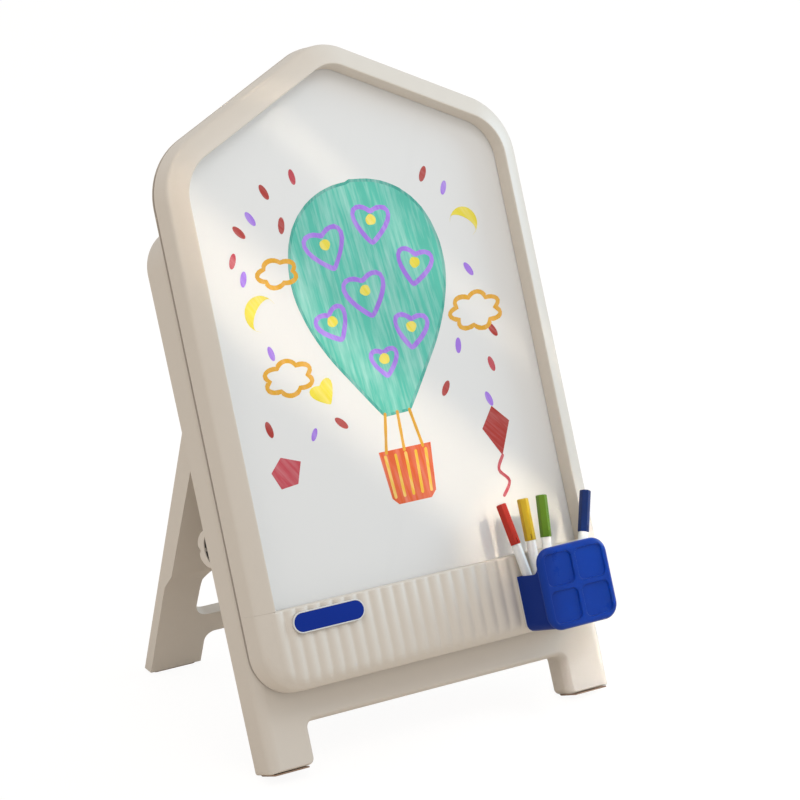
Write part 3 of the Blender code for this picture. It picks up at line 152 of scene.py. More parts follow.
class StandSizes(bpy.types.PropertyGroup):
    """Sizes of the front stand."""

    half_width: length("Half width", "Half of the stand's width", 212.0)
    top: length("Top", "Height of the stand along the board", 570.0)
    top_radius: length("Top radius", "Radius of the stand's upper corners", 45.0)
    depth: length("Depth", "Depth of the posts at the floor", 38.8)
    depth_gain: length("Depth gain", "How much deeper the posts are at the top", 9.5)
    front_round: length("Front round", "Radius of the posts' front edges", 12.0)
    back_round: length("Back round", "Radius of the posts' rear edges", 2.0)
    foot_draft: length("Foot draft", "How much the feet narrow towards the back", 3.2)
    foot_inner: length("Foot inner side", "Half of the gap between the feet", 158.5)
    foot_end: length("Foot end", "How far the feet run below the floor line", 0.3)
    rail_bottom: length("Rail bottom", "Height of the rail's lower edge", 43.0)
    rail_top: length("Rail top", "Height of the sill of the leg's bay", 140.0)
    web: length("Web", "Thickness of the web behind the board", 5.0)
    wall: length("Wall", "Walls round the bays", 8.0)
    bay_half: length("Bay half width", "Half of the width of the leg's bay", 196.5)
    bay_top: length("Bay top", "Height of the top of the leg's bay", 424.0)
    window_half: length("Window half width", "Half of the width of the web's window", 166.0)
    window_bottom: length("Window bottom", "Height of the window's lower edge", 152.0)
    window_top: length("Window top", "Height of the window's upper edge", 392.0)
    knob_up: length("Knob height", "Height of the wing knob along the post", 237.0)
    knob_half: length("Knob half length", "Half of the knob's length", 20.0)
    knob_height: length("Knob height off the post", "How far the knob stands off the post", 23.0)
    knob_thickness: length("Knob thickness", "Thickness of the knob's wings", 9.0)


class LegSizes(bpy.types.PropertyGroup):
    """Sizes of the rear leg."""

    half_width: length("Half width", "Half of the leg's width", 194.0)
    back: length("Back", "Distance from the hinge to the leg's rear face", 15.0)
    front: length("Front", "Distance from the hinge to the leg's front face", 15.0)
    thin: length("Thin part", "Thickness of the leg at its feet", 14.0)
    step: length("Step", "Thickness of the leg above its step", 24.0)
    step_low: length("Step bottom", "Height of the step's lower end", 126.5)
    step_high: length("Step top", "Height of the step's upper end", 149.5)
    tail: length("Tail", "How far the leg runs above its hinge", 34.8)
    top_radius: length("Top radius", "Radius of the leg's upper corners", 26.0)
    foot_inner: length("Foot inner side", "Half of the gap between the feet", 132.0)
    arch: length("Arch", "Height of the gap between the feet", 47.0)
    arch_radius: length("Arch radius", "Radius of the gap's upper corners", 12.0)
    window_half: length("Window half width", "Half of the width of the window", 150.0)
    window_low: length("Window bottom", "Height of the window's lower edge", 73.6)
    window_high: length("Window top", "Height of the window's upper edge", 181.0)
    window_low_radius: length("Window lower radius", "Radius of the window's lower corners", 17.0)
    window_high_radius: length("Window upper radius", "Radius of the window's upper corners", 68.0)
    window_taper: length("Window taper", "How much narrower the window is at its top", 3.0)
    rim: length("Rim", "Rim round the leg's hollow back", 6.0)
    skin: length("Skin", "Thickness of the leg's front skin", 4.0)
    rib: length("Rib", "Thickness of the ribs in the hollow", 3.0)
    ribs: IntProperty(name="Ribs", description="How many ribs the hollow has", default=4, min=0)
    pad: length("Pad", "Thickness of the rubber pads", 1.6)


class BoxSizes(bpy.types.PropertyGroup):
    """Sizes of the pen box and its markers."""

    centre: length("Centre", "Place of the box across the board", 135.4)
    bottom: length("Bottom", "Height of the box's floor along the board", 80.0)
    seat: length("Seat", "Level of the back of the box", 41.8)
    width: length("Width", "Width of the tray", 82.0)
    side_height: length("Side height", "Height of the tray's sides", 60.0)
    front_height: length("Front height", "Height of the tray's front wall", 79.0)
    depth: length("Depth", "Depth of the tray", 45.0)
    wall: length("Wall", "Walls of the tray", 1.6)
    floor: length("Floor", "Floor of the tray", 2.4)
    corner: length("Corner radius", "Radius of the tray's lower corners", 9.0)
    fillet: length("Fillet", "Curve from the sides up to the front wall", 11.0)
    pad: length("Pad", "Thickness of the white pad behind the tray", 1.8)
    plate: length("Plate", "Size of the square front plate", 87.4)
    plate_drop: length("Plate drop", "How far the plate hangs below the tray", 2.2)
    plate_thickness: length("Plate thickness", "Thickness of the plate", 6.8)
    plate_radius: length("Plate radius", "Radius of the plate's corners", 17.0)
    plate_edge: length("Plate edge", "Rounding of the plate's front edge", 5.4)
    plate_rim: length("Plate rim", "Width of the frame round the panes", 7.2)
    plate_bar: length("Plate bar", "Width of the bars between the panes", 5.6)
    pane_depth: length("Pane depth", "Depth of the panes", 2.6)
    pane_radius: length("Pane radius", "Radius of the panes' corners", 6.5)
    marker: length("Marker length", "Length of a marker with its cap on", 136.5)
    cap: length("Cap length", "Length of a cap", 45.0)
    flats: length("Cap width", "Width of a cap across its flats", 10.7)
    barrel: length("Barrel radius", "Radius of a marker's barrel", 5.1)


class Finishes(bpy.types.PropertyGroup):
    """Colours of the materials, in linear light."""

    beige: colour("Beige", "Moulded painted_shade of the frame, stand and leg", (0.66, 0.595, 0.515))
    enamel: colour("Enamel", "Writing sheet", (0.775, 0.765, 0.745))
    white: colour("White", "Badge rim and barrels", (0.69, 0.685, 0.67))
    badge: colour("Badge blue", "Face of the badge", (0.003, 0.026, 0.26))
    box: colour("Box blue", "Front plate of the pen box", (0.0012, 0.032, 0.262))
    # The tray's blue plastic is real, but it is darker than the plate's blue: painted shade on the box's
    # sides
    tray: colour("Tray blue", "Tray of the pen box", (0.0028, 0.024, 0.20))
    red: colour("Red", "Cap of the red marker", (0.42, 0.026, 0.014))
    yellow: colour("Yellow", "Cap of the yellow marker", (0.56, 0.375, 0.019))
    green: colour("Green", "Cap of the green marker", (0.105, 0.21, 0.014))
    blue: colour("Blue", "Cap of the blue marker", (0.004, 0.022, 0.125))
    rubber: colour("Rubber", "Foot pads", (0.34, 0.22, 0.15))
    steel: colour("Steel", "Screws, pins and magnets", (0.55, 0.55, 0.56))
    card: colour("Card", "Core of the board", (0.32, 0.22, 0.13))


class StageSettings(bpy.types.PropertyGroup):
    """Light, camera and floor."""

    world: number("World", "Strength of the world's light", 0.69)
    left_softbox: number("Left softbox", "Power of the warm soft lamp in watts", 2.2)
    right_softbox: number("Right softbox", "Power of the cool soft lamp in watts", 54.0)
    front_softbox: number("Front softbox", "Power of the soft lamp in front in watts", 7.0)
    wide_beam: number("Wide beam", "Light in the wide beam, in watts a square metre", 1.3)
    slim_beam: number("Slim beam", "Light in the slim beam, in watts a square metre", 0.6)
    cap_beam: number("Cap beam", "Light by the caps, in watts a square metre", 1.0)
    foot_beam: number("Foot beam", "Light on the right foot, in watts a square metre", 1.2)
    lens: number("Lens", "Focal length in millimetres", 135.0)


GROUPS = {
    "drawing_board_board": BoardSizes,
    "drawing_board_apron": ApronSizes,
    "drawing_board_stand": StandSizes,
    "drawing_board_leg": LegSizes,
    "drawing_board_box": BoxSizes,
    "drawing_board_finishes": Finishes,
    "drawing_board_stage": StageSettings,
}


# Outlines and meshes


def clamp(value):
    """Return a value held between 0 and 1."""
    return min(max(value, 0.0), 1.0)


def turns(count):
    """Return the angles of a full turn in even steps."""
    return [2 * math.pi * k / count for k in range(count)]


def quarter(steps, first=0):
    """Return a rounded edge's distances from its two faces, as shares of its radius."""
    angles = [math.pi / 2 * k / steps for k in range(first, steps + 1)]
    return [(1 - math.cos(a), 1 - math.sin(a)) for a in angles]


def rounded(corners, radii, insets, steps):
    """Return a counter-clockwise outline with rounded corners, each edge moved in by its inset."""
    count = len(corners)
    points = [Vector(corner) for corner in corners]
    directions = [(points[(i + 1) % count] - points[i]).normalized() for i in range(count)]
    normals = [Vector((-d.y, d.x)) for d in directions]
    result = []
    for i in range(count):
        before = directions[i - 1]
        after = directions[i]
        start = points[i] + normals[i - 1] * insets[i - 1]
        other = points[i] + normals[i] * insets[i]
        cross = before.x * after.y - before.y * after.x
        along = ((other.x - start.x) * after.y - (other.y - start.y) * after.x) / cross
        corner = start + before * along
        if steps[i] == 0:
            result.append(corner)
            continue
        turn = math.atan2(cross, before.dot(after))
        mean_inset = (insets[i - 1] + insets[i]) / 2
        radius = max(radii[i] - math.copysign(mean_inset, cross), radii[i] / 20)
        first = corner - before * radius * math.tan(abs(turn) / 2)
        centre = first + normals[i - 1] * math.copysign(radius, cross)
        arm = first - centre
        for k in range(steps[i] + 1):
            swing = Matrix.Rotation(turn * k / steps[i], 2)
            result.append(centre + swing @ arm)
    return result


def box_outline(left, right, low, high, radius, steps, inset=0.0):
    """Return a rectangle with four like corners."""
    corners = ((left, low), (right, low), (right, high), (left, high))
    return rounded(corners, (radius,) * 4, (inset,) * 4, (steps,) * 4)


def pill(length_over, height, inset, steps=24):
    """Return a slot shape about the origin."""
    radius = height / 2 - inset
    straight = (length_over - height) / 2
    result = []
    for side in (1, -1):
        for k in range(steps + 1):
            angle = math.pi * (k / steps - 0.5 * side)
            result.append(Vector((side * straight + radius * math.cos(angle), radius * math.sin(angle))))
    return result


def circle(radius, sides, centre=(0, 0)):
    """Return a counter-clockwise circle of points."""
    u, v = centre
    return [Vector((u + radius * math.cos(a), v + radius * math.sin(a))) for a in turns(sides)]


def level(outline, height):
    """Lift a flat outline to one height."""
    return [Vector((p[0], p[1], height)) for p in outline]


def along_u(outline, low, high):
    """Turn an outline drawn in (v, n) into the two ends of a prism that runs along u."""
    return [[Vector((u, p[0], p[1])) for p in outline] for u in (low, high)]


def through(points, parts):
    """Return more points on a smooth line through the given ones."""
    result = []
    last = len(points) - 1
    for i in range(last):
        a, b, c, d = (Vector(points[min(max(k, 0), last)]) for k in (i - 1, i, i + 1, i + 2))
        for k in range(parts):
            t = k / parts
            bend = (2 * a - 5 * b + 4 * c - d) * t * t + (3 * b - a - 3 * c + d) * t * t * t
            result.append((2 * b + (c - a) * t + bend) / 2)
    result.append(Vector(points[-1]))
    return result


def skin(rings, closed=False, bm=None):
    """Skin a stack of rings with equal counts, capped unless it closes on itself, and return the bmesh."""
    if bm is None:
        bm = bmesh.new()
    rows = [[bm.verts.new(p) for p in ring] for ring in rings]
    pairs = list(zip(rows, rows[1:]))
    if closed:
        pairs.append((rows[-1], rows[0]))
    for low, high in pairs:
        for i in range(len(low)):
            j = (i + 1) % len(low)
            bm.faces.new((low[i], low[j], high[j], high[i]))
    if not closed:
        bm.faces.new(list(reversed(rows[0])))
        bm.faces.new(rows[-1])
    return bm


def prism(outline, low, high, bm=None):
    """Skin a flat outline between two heights."""
    return skin((level(outline, low), level(outline, high)), bm=bm)


def lathe(profile, sides=32):
    """Skin a turned body from its radii and heights."""
    return skin([level(circle(radius, sides), height) for radius, height in profile])


def add(name, bm, place=None):
    """Make an object of a bmesh moved to a place, with its faces turned outwards."""
    bmesh.ops.recalc_face_normals(bm, faces=bm.faces)
    if place is not None:
        bm.transform(place)
    mesh = bpy.data.meshes.new(name)
    bm.to_mesh(mesh)
    bm.free()
    made = bpy.data.objects.new(name, mesh)
    bpy.context.scene.collection.objects.link(made)
    return made


def cut(target, tools, operation="DIFFERENCE"):
    """Cut a piece with tool bodies, keep the result as its mesh and remove the tools."""
    for tool in tools:
        modifier = target.modifiers.new(tool.name, "BOOLEAN")
        modifier.operation = operation
        modifier.solver = "EXACT"
        modifier.object = tool
    settle(target)
    for tool in tools:
        bpy.data.objects.remove(tool)


def settle(target):
    """Turn a piece's modifiers into its mesh."""
    bpy.context.view_layer.update()
    seen = target.evaluated_get(bpy.context.evaluated_depsgraph_get())
    mesh = bpy.data.meshes.new_from_object(seen)
    target.modifiers.clear()
    target.data = mesh


def soften(piece, width, segments=3, angle=30):
    """Round a piece's edges, and shade its flat faces flat."""
    bevel = piece.modifiers.new("soft edges", "BEVEL")
    bevel.width = width
    bevel.segments = segments
    bevel.limit_method = "ANGLE"
    bevel.angle_limit = math.radians(angle)
    bevel.use_clamp_overlap = True
    shading = piece.modifiers.new("even shading", "WEIGHTED_NORMAL")
    shading.weight = 60
    piece.data.shade_smooth()


def crease(piece, angle=32):
    """Shade a piece smooth, with its sharp edges kept."""
    piece.data.shade_smooth()
    piece.data.set_sharp_from_angle(angle=math.radians(angle))


def dress(piece, body, look, stands_for=()):
    """Give a new piece its material and its body, and hide the CAD nodes it stands for."""
    piece.data.materials.clear()
    piece.data.materials.append(look)
    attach(piece, body)
    if stands_for:
        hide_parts(*stands_for)
    return piece


def repaint(node, look):
    """Give a CAD node that stays in view a finished material."""
    for place in NODES[node].material_slots:
        place.material = look


# Shaders


class Socket:
    """A shader socket that takes part in Python expressions."""

    def __init__(self, look, socket):
        self.look = look
        self.socket = socket

    def maths(self, operation, first, second):
        """Add a Math node."""
        return self.look.node("ShaderNodeMath", {"operation": operation}, {0: first, 1: second})

    def __add__(self, other):
        return self.maths("ADD", self, other)

    def __radd__(self, other):
        return self.maths("ADD", other, self)

    def __sub__(self, other):
        return self.maths("SUBTRACT", self, other)

    def __rsub__(self, other):
        return self.maths("SUBTRACT", other, self)

    def __mul__(self, other):
        return self.maths("MULTIPLY", self, other)

    def __rmul__(self, other):
        return self.maths("MULTIPLY", other, self)


class Look:
    """One material, or the world, and its nodes."""

    def __init__(self, name, owner=None):
        self.material = owner or bpy.data.materials.new(name)
        self.material.use_nodes = True
        self.tree = self.material.node_tree
        self.tree.nodes.clear()
        self.object_space = None

    def node(self, kind, settings=None, sockets=None, output=0):
        """Add a node, with its settings first and then its sockets' values or links."""
        made = self.tree.nodes.new(kind)
        for key, value in (settings or {}).items():
            if key == "stops":
                self.set_stops(made, value)
            else:
                setattr(made, key, value)
        for key, value in (sockets or {}).items():
            if isinstance(value, Socket):
                self.tree.links.new(value.socket, made.inputs[key])
            else:
                made.inputs[key].default_value = value
        return Socket(self, made.outputs[output])

    def set_stops(self, ramp, stops):
        """Set the stops of a ramp of greys or colours."""
        elements = ramp.color_ramp.elements
        while len(elements) < len(stops):
            elements.new(1.0)
        for element, (place, value) in zip(elements, stops):
            element.position = place
            element.color = (value, value, value, 1) if isinstance(value, float) else (*value, 1)

    def space(self, stretch=(1, 1, 1), turn=0.0):
        """Return the piece's coordinates along the board, turned in its plane and stretched."""
        if self.object_space is None:
            self.object_space = self.node("ShaderNodeTexCoord", output="Object")
        along = (UPRIGHT @ Matrix.Rotation(turn, 4, "Z")).to_euler()
        sizes = [1 / share for share in stretch]
        sockets = {"Vector": self.object_space, "Scale": sizes, "Rotation": along}
        return self.node("ShaderNodeMapping", {"vector_type": "TEXTURE"}, sockets)

    def noise(self, scale, detail=3.0, roughness=0.5, stretch=(1, 1, 1), turn=0.0):
        """Return a noise value about 0.5."""
        sockets = {"Vector": self.space(stretch, turn), "Scale": scale, "Detail": detail}
        return self.node("ShaderNodeTexNoise", None, {**sockets, "Roughness": roughness})

    def ramp(self, value, *stops):
        """Return a value or colour read off a ramp."""
        return self.node("ShaderNodeValToRGB", {"stops": stops}, {"Fac": value})

    def mix(self, share, first, second, blend="MIX"):
        """Return a mix of two colours."""
        ends = [value if isinstance(value, Socket) else (*value, 1) for value in (first, second)]
        settings = {"data_type": "RGBA", "blend_type": blend}
        return self.node("ShaderNodeMix", settings, {0: share, 6: ends[0], 7: ends[1]}, 2)

    def scaled(self, shade, factor):
        """Return a colour times a value."""
        return self.node("ShaderNodeVectorMath", {"operation": "SCALE"}, {0: shade, "Scale": factor})

    def bump(self, height, strength, distance):
        """Return a normal bent by a height."""
        sockets = {"Strength": strength, "Distance": distance, "Height": height}
        return self.node("ShaderNodeBump", None, sockets)

    def surface(self, **values):
        """Add the shader, with its sockets named in words, and return the material."""
        words = {key: key.replace("_", " ").title().replace("Ior", "IOR") for key in values}
        sockets = {words[key]: value for key, value in values.items()}
        self.end(self.node("ShaderNodeBsdfPrincipled", None, sockets))
        return self.material

    def end(self, shader, kind="ShaderNodeOutputMaterial"):
        """Link a shader to the output."""
        output = self.tree.nodes.new(kind)
        self.tree.links.new(shader.socket, output.inputs["Surface"])


def moulded_plastic(name, shade, gloss, grain, wear, shine=0.5):
    """Moulded plastic: faint flow marks, a fine spark-eroded grain and rubbed spots."""
    look = Look(name)
    flow = look.noise(5.5, 3.0, 0.55, (1, 0.35, 1))
    mottle = look.noise(70, 4.0, 0.6)
    rubbed = look.ramp(look.noise(17, 5.0, 0.62, (1, 0.5, 1)), (0.52, 0.0), (0.72, 1.0))
    fine = look.noise(1500, 2.0, 0.5)
    tone = 0.955 + 0.055 * flow + 0.035 * mottle - 0.012 * rubbed
    return look.surface(
        base_color=look.scaled(shade, tone),
        specular_ior_level=shine,
        roughness=gloss + 0.10 * (mottle - 0.5) - wear * rubbed + 0.06 * (fine - 0.5),
        normal=look.bump(0.75 * fine + 0.25 * mottle, grain, 0.00012),
    )


def enamel(name, shade):
    """Glossy enamel on steel: wiped smears, faint ghost strokes and a soft orange peel."""
    look = Look(name)
    smear = look.noise(7, 4.0, 0.6, (1, 0.22, 1), 0.6)
    ghost = look.ramp(look.noise(26, 5.0, 0.65, (1, 0.12, 1), -0.5), (0.58, 0.0), (0.74, 1.0))
    peel = look.noise(240, 2.0, 0.4)
    scratch = look.ramp(look.noise(420, 2.0, 0.5, (1, 0.02, 1), 0.9), (0.66, 0.0), (0.70, 1.0))
    return look.surface(
        base_color=look.scaled(shade, 1.0 - 0.016 * smear - 0.014 * ghost),
        roughness=0.27 + 0.10 * smear + 0.05 * ghost + 0.04 * scratch,
        normal=look.bump(peel + 0.15 * scratch, 0.05, 0.0002),
    )


def gloss_plastic(name, shade, rough=0.22, depth=0.04, shine=0.5):
    """Glossy plastic: slight flow marks, finger smears and fine scratches."""
    look = Look(name)
    flow = look.noise(60, 3.0, 0.5, (1, 0.25, 1))
    smear = look.noise(120, 4.0, 0.6)
    scratch = look.ramp(look.noise(900, 2.0, 0.5, (1, 0.04, 1)), (0.64, 0.0), (0.70, 1.0))
    return look.surface(
        base_color=look.scaled(shade, 0.94 + 0.08 * flow + 0.03 * smear),
        specular_ior_level=shine,
        roughness=rough + 0.14 * (smear - 0.4) + 0.05 * scratch,
        normal=look.bump(smear + 0.3 * scratch, depth, 0.0002),
    )


def steel(name, shade):
    """Plated steel with a brushed grain and dull spots."""
    look = Look(name)
    brush = look.noise(700, 3.0, 0.6, (1, 0.06, 0.3))
    dull = look.ramp(look.noise(160, 4.0, 0.6), (0.45, 0.0), (0.7, 1.0))
    return look.surface(
        base_color=look.scaled(shade, 0.86 + 0.2 * brush - 0.1 * dull),
        metallic=1.0,
        roughness=0.26 + 0.16 * brush + 0.16 * dull,
        normal=look.bump(brush, 0.12, 0.0001),
    )


def rubber(name, shade):
    """Matte rubber with dust in its pores."""
    look = Look(name)
    pores = look.noise(900, 3.0, 0.6)
    dust = look.ramp(look.noise(110, 4.0, 0.65), (0.45, 0.0), (0.75, 1.0))
    return look.surface(
        base_color=look.mix(0.25 * dust, look.scaled(shade, 0.8 + 0.4 * pores), (0.34, 0.29, 0.25)),
        roughness=0.78 + 0.16 * dust,
        normal=look.bump(pores, 0.4, 0.0002),
    )


def card(name, shade):
    """Layered card with fibres."""
    look = Look(name)
    fibre = look.noise(300, 4.0, 0.7, (1, 0.1, 1))
    layer = look.noise(500, 1.0, 0.5, (0.01, 0.01, 4))
    return look.surface(
        base_color=look.scaled(shade, 0.75 + 0.3 * fibre + 0.2 * layer),
        roughness=0.82 + 0.12 * fibre,
        normal=look.bump(fibre + layer, 0.5, 0.0003),
    )


def felt(name, shade):
    """Felt with short fibres."""
    look = Look(name)
    fibre = look.noise(2600, 4.0, 0.7, (1, 0.2, 1))
    return look.surface(
        base_color=look.scaled(shade, 0.7 + 0.5 * fibre),
        roughness=0.7 + 0.25 * fibre,
        normal=look.bump(fibre, 0.6, 0.0002),
    )


def marker_ink(name, shade, thin, turn):
    """Dry-wipe ink: strokes side by side that leave the sheet half bare between them."""
    look = Look(name)
    streak = look.noise(230, 4.0, 0.62, (1, 0.07, 1), turn)
    cloud = look.noise(45, 3.0, 0.6, (1, 0.3, 1), turn)
    pale = [1 - (1 - part) * 0.45 for part in shade]
    bare = look.ramp(0.65 * streak + 0.35 * cloud, (0.44, 0.0), (0.68, 1.0))
    base = look.scaled(shade, 0.84 + 0.32 * cloud)
    return look.surface(
        base_color=look.mix(thin * bare, base, pale),
        roughness=0.42 + 0.16 * streak,
        normal=look.bump(streak, 0.25, 0.0001),
    )


# Each finish: its maker, the material's name, and the maker's other values
FINISHES = {
    "beige": (moulded_plastic, "beige_plastic_grained", (0.46, 0.30, 0.08)),
    "box": (moulded_plastic, "blue_plastic_grained", (0.31, 0.16, 0.05, 0.18)),
    # The tray's darker blue is partly painted shade on the box's sides
    "tray": (moulded_plastic, "deep_blue_plastic_grained", (0.42, 0.20, 0.06, 0.07)),
    "enamel": (enamel, "white_enamel", ()),
    "white": (gloss_plastic, "white_gloss_plastic", (0.30,)),
    "badge": (gloss_plastic, "badge_blue_gloss", (0.20, 0.03, 0.11)),
    "rubber": (rubber, "brown_rubber_dusty", ()),
    "steel": (steel, "plated_steel", ()),
    "card": (card, "layered_card", ()),
}
CAP_NAMES = ("red", "yellow", "green", "blue")
FINISHES.update({name: (gloss_plastic, f"cap_{name}_plastic", (0.36, 0.04, 0.22)) for name in CAP_NAMES})
LOOKS = {}


def finish(name):
    """Return a finished material by name, made on its first use."""
    if name not in LOOKS:
        maker, label, values = FINISHES[name]
        shade = getattr(bpy.context.scene.drawing_board_finishes, name)
        LOOKS[name] = maker(label, shade, *values)
    return LOOKS[name]


# Board


# The crown of the frame moulding, as shares of its width and of its rise
CROWN_SHARES = (
    (0.0, 0.0),
    (0.03, 0.16),
    (0.09, 0.29),
    (0.20, 0.42),
    (0.42, 0.63),
    (0.68, 0.84),
    (0.86, 0.95),
    (0.94, 0.985),
    (0.98, 0.955),
    (1.0, 0.87),
)


def house(sizes, inset):
    """Return the board's outline, moved in by an inset that is wider along the roof."""
    half, low, eave = sizes.half_width, sizes.bottom, sizes.eave
    corners = ((-half, low), (half, low), (half, eave), (0, eave + sizes.roof_rise), (-half, eave))
    chin, shoulder = sizes.chin_radius, sizes.eave_radius
    radii = (chin, chin, shoulder, sizes.apex_radius, shoulder)
    roof = inset * sizes.roof_share
    return rounded(corners, radii, (inset, inset, roof, roof, inset), (8, 8, 24, 20, 24))


# Colour of the dark band in the groove round the skirt: painted shade that deepens the shadow gap between
# the moulding and the stand
GROOVE_SHADOW_SHADE = (0.095, 0.052, 0.032)


def groove_levels(sizes):
    """Return the levels of the lower and upper side of the groove round the skirt."""
    under = sizes.back + sizes.groove_level
    return under, under + sizes.groove_height


class DRAWINGBOARD_OT_frame(bpy.types.Operator):
    """Make the crowned moulding round the sides and roof of the board"""

    bl_idname = "drawing_board.frame_moulding"
    bl_label = "Frame moulding"

    def execute(self, context):
        sizes = context.scene.drawing_board_board
        rise = sizes.face_height - sizes.side_height
        run = sizes.face_width - sizes.draft
        crown = [(sizes.draft + run * a, sizes.side_height + rise * b) for a, b in CROWN_SHARES]
        foot = sizes.face_width + sizes.lip_draft
        under, over = groove_levels(sizes)
        depth = sizes.groove_depth
        profile = [(0.0, sizes.back), (0.0, under), (depth, under), (depth, over), (GAP / 3, over)]
        profile.append((sizes.draft * 0.5, sizes.side_height * 0.5))
        profile += [tuple(p) for p in through(crown, 3)]
        profile += [(foot, sizes.lip_level), (foot - sizes.wall, sizes.lip_level)]
        profile.append((sizes.face_width - sizes.wall, sizes.face_height - 2 * sizes.wall))
        profile.append((sizes.draft + sizes.wall, sizes.side_height - sizes.wall / 2))
        profile.append((sizes.wall, sizes.back))
        bm = skin([level(house(sizes, inset), height) for inset, height in profile], closed=True)
        seam = Vector((0, context.scene.drawing_board_apron.top + GAP / 10, 0))
        parts = bm.verts[:] + bm.edges[:] + bm.faces[:]
        plane = {"plane_co": seam, "plane_no": (0, -1, 0)}
        ends = bmesh.ops.bisect_plane(bm, geom=parts, clear_outer=True, **plane)
        rim = [part for part in ends["geom_cut"] if isinstance(part, bmesh.types.BMEdge)]
        bmesh.ops.edgeloop_fill(bm, edges=rim)
        piece = add("frame_moulding", bm, BOARD_PLANE)
        crease(piece, 38)
        dress(piece, "stand", finish("beige"), ["board_frame"])
        self.make_groove_shadow(sizes)
        return {"FINISHED"}

    def make_groove_shadow(self, sizes):
        """Make the dark band in the groove round the skirt, painted shade in the shadow gap."""
        under, over = groove_levels(sizes)
        outer, inner = 8 * GAP, sizes.groove_depth - GAP
        low, high = under + GAP, over - GAP
        corners = ((outer, low), (outer, high), (inner, high), (inner, low))
        bm = skin([level(house(sizes, inset), height) for inset, height in corners], closed=True)
        strip = add("groove_strip", bm, BOARD_PLANE)
        # Its dark felt is painted shade in the gap between the moulding and the stand
        dress(strip, "stand", felt("groove_strip_felt", GROOVE_SHADOW_SHADE))


def apron_side(context, inset):
    """Return the apron's half width, bottom and corner radius at one inset."""
    sizes = context.scene.drawing_board_board
    return sizes.half_width - inset, sizes.bottom + inset, sizes.chin_radius - inset


def crown_height(sizes, side):
    """Return the level of the frame moulding's crown at a distance from its upper side edge."""
    share = side / (sizes.face_width - sizes.draft)
    for (a, low), (b, high) in zip(CROWN_SHARES, CROWN_SHARES[1:]):
        if share <= b:
            rise = low + (high - low) * (share - a) / (b - a)
            return sizes.side_height + (sizes.face_height - sizes.side_height) * rise
    return sizes.face_height


# How rounded the valleys between the ribs are, as a share of the ribs' height
VALLEY_ROUND = 0.4

# Where the apron's upper corners rise to the crown of the frame: from the side, over a length, and
# below the upper edge; and how much less that edge is rounded there
JOIN_START = 15 * MM
JOIN_FADE = 8 * MM
JOIN_HEIGHT = 26 * MM
JOIN_ROUND = 0.7


def apron_height(context, u, v):
    """Return the level of the fluted face at a point."""
    board = context.scene.drawing_board_board
    sizes = context.scene.drawing_board_apron
    half, bottom, radius = apron_side(context, board.draft)
    over = abs(u) - (half - radius)
    under = bottom + radius - v
    if over > 0 and under > 0:
        distance = max(radius - math.hypot(over, under), 0.0)
    else:
        distance = max(min(half - abs(u), v - bottom), 0.0)
    share = clamp(distance / sizes.pillow)
    pillow = board.side_height + (sizes.face - board.side_height) * math.sqrt(1 - (1 - share) ** 2)
    side = max(half - abs(u), 0.0)
    join = 1 - clamp((side - JOIN_START) / JOIN_FADE)
    near = clamp(1 - (sizes.top - v) / JOIN_HEIGHT) * join
    pillow += (crown_height(board, side) - pillow) * near * near * (3 - 2 * near)
    span = sizes.ribs * sizes.pitch / 2
    across = u + sizes.rib_shift + span
    phase = (across / sizes.pitch) % 1.0
    rib = 1 - (2 * phase - 1) ** 2 if GAP / 100 < across < 2 * span - GAP / 100 else 0.0
    rib = (math.hypot(rib, VALLEY_ROUND) - VALLEY_ROUND) / (math.hypot(1.0, VALLEY_ROUND) - VALLEY_ROUND)
    fade = clamp((distance - sizes.end_inset) / sizes.end_fade)
    top_share = clamp((sizes.top - v) / sizes.top_fade)
    rounding = sizes.top_round * (1 - math.sqrt(1 - (1 - top_share) ** 2))
    rise = sizes.rib_height * rib * math.sqrt(fade) * math.sqrt(top_share)
    return pillow + rise - rounding * (1 - JOIN_ROUND * join)


# Where the apron's face has rows of points: as shares of the rounded rim, of the length over which
# the ribs' lower ends rise, and of the length over which their upper ends rise
RIM_SHARES = (0.0, 0.01, 0.03, 0.07, 0.12, 0.19, 0.28, 0.38, 0.48, 0.60, 0.72, 0.86)
END_SHARES = (0.03, 0.1, 0.2, 0.35, 0.55, 0.8, 1.0)
TOP_SHARES = (1.0, 0.8, 0.6, 0.42, 0.28, 0.16, 0.08, 0.03, 0.0)
COLUMNS_PER_RIB = 12


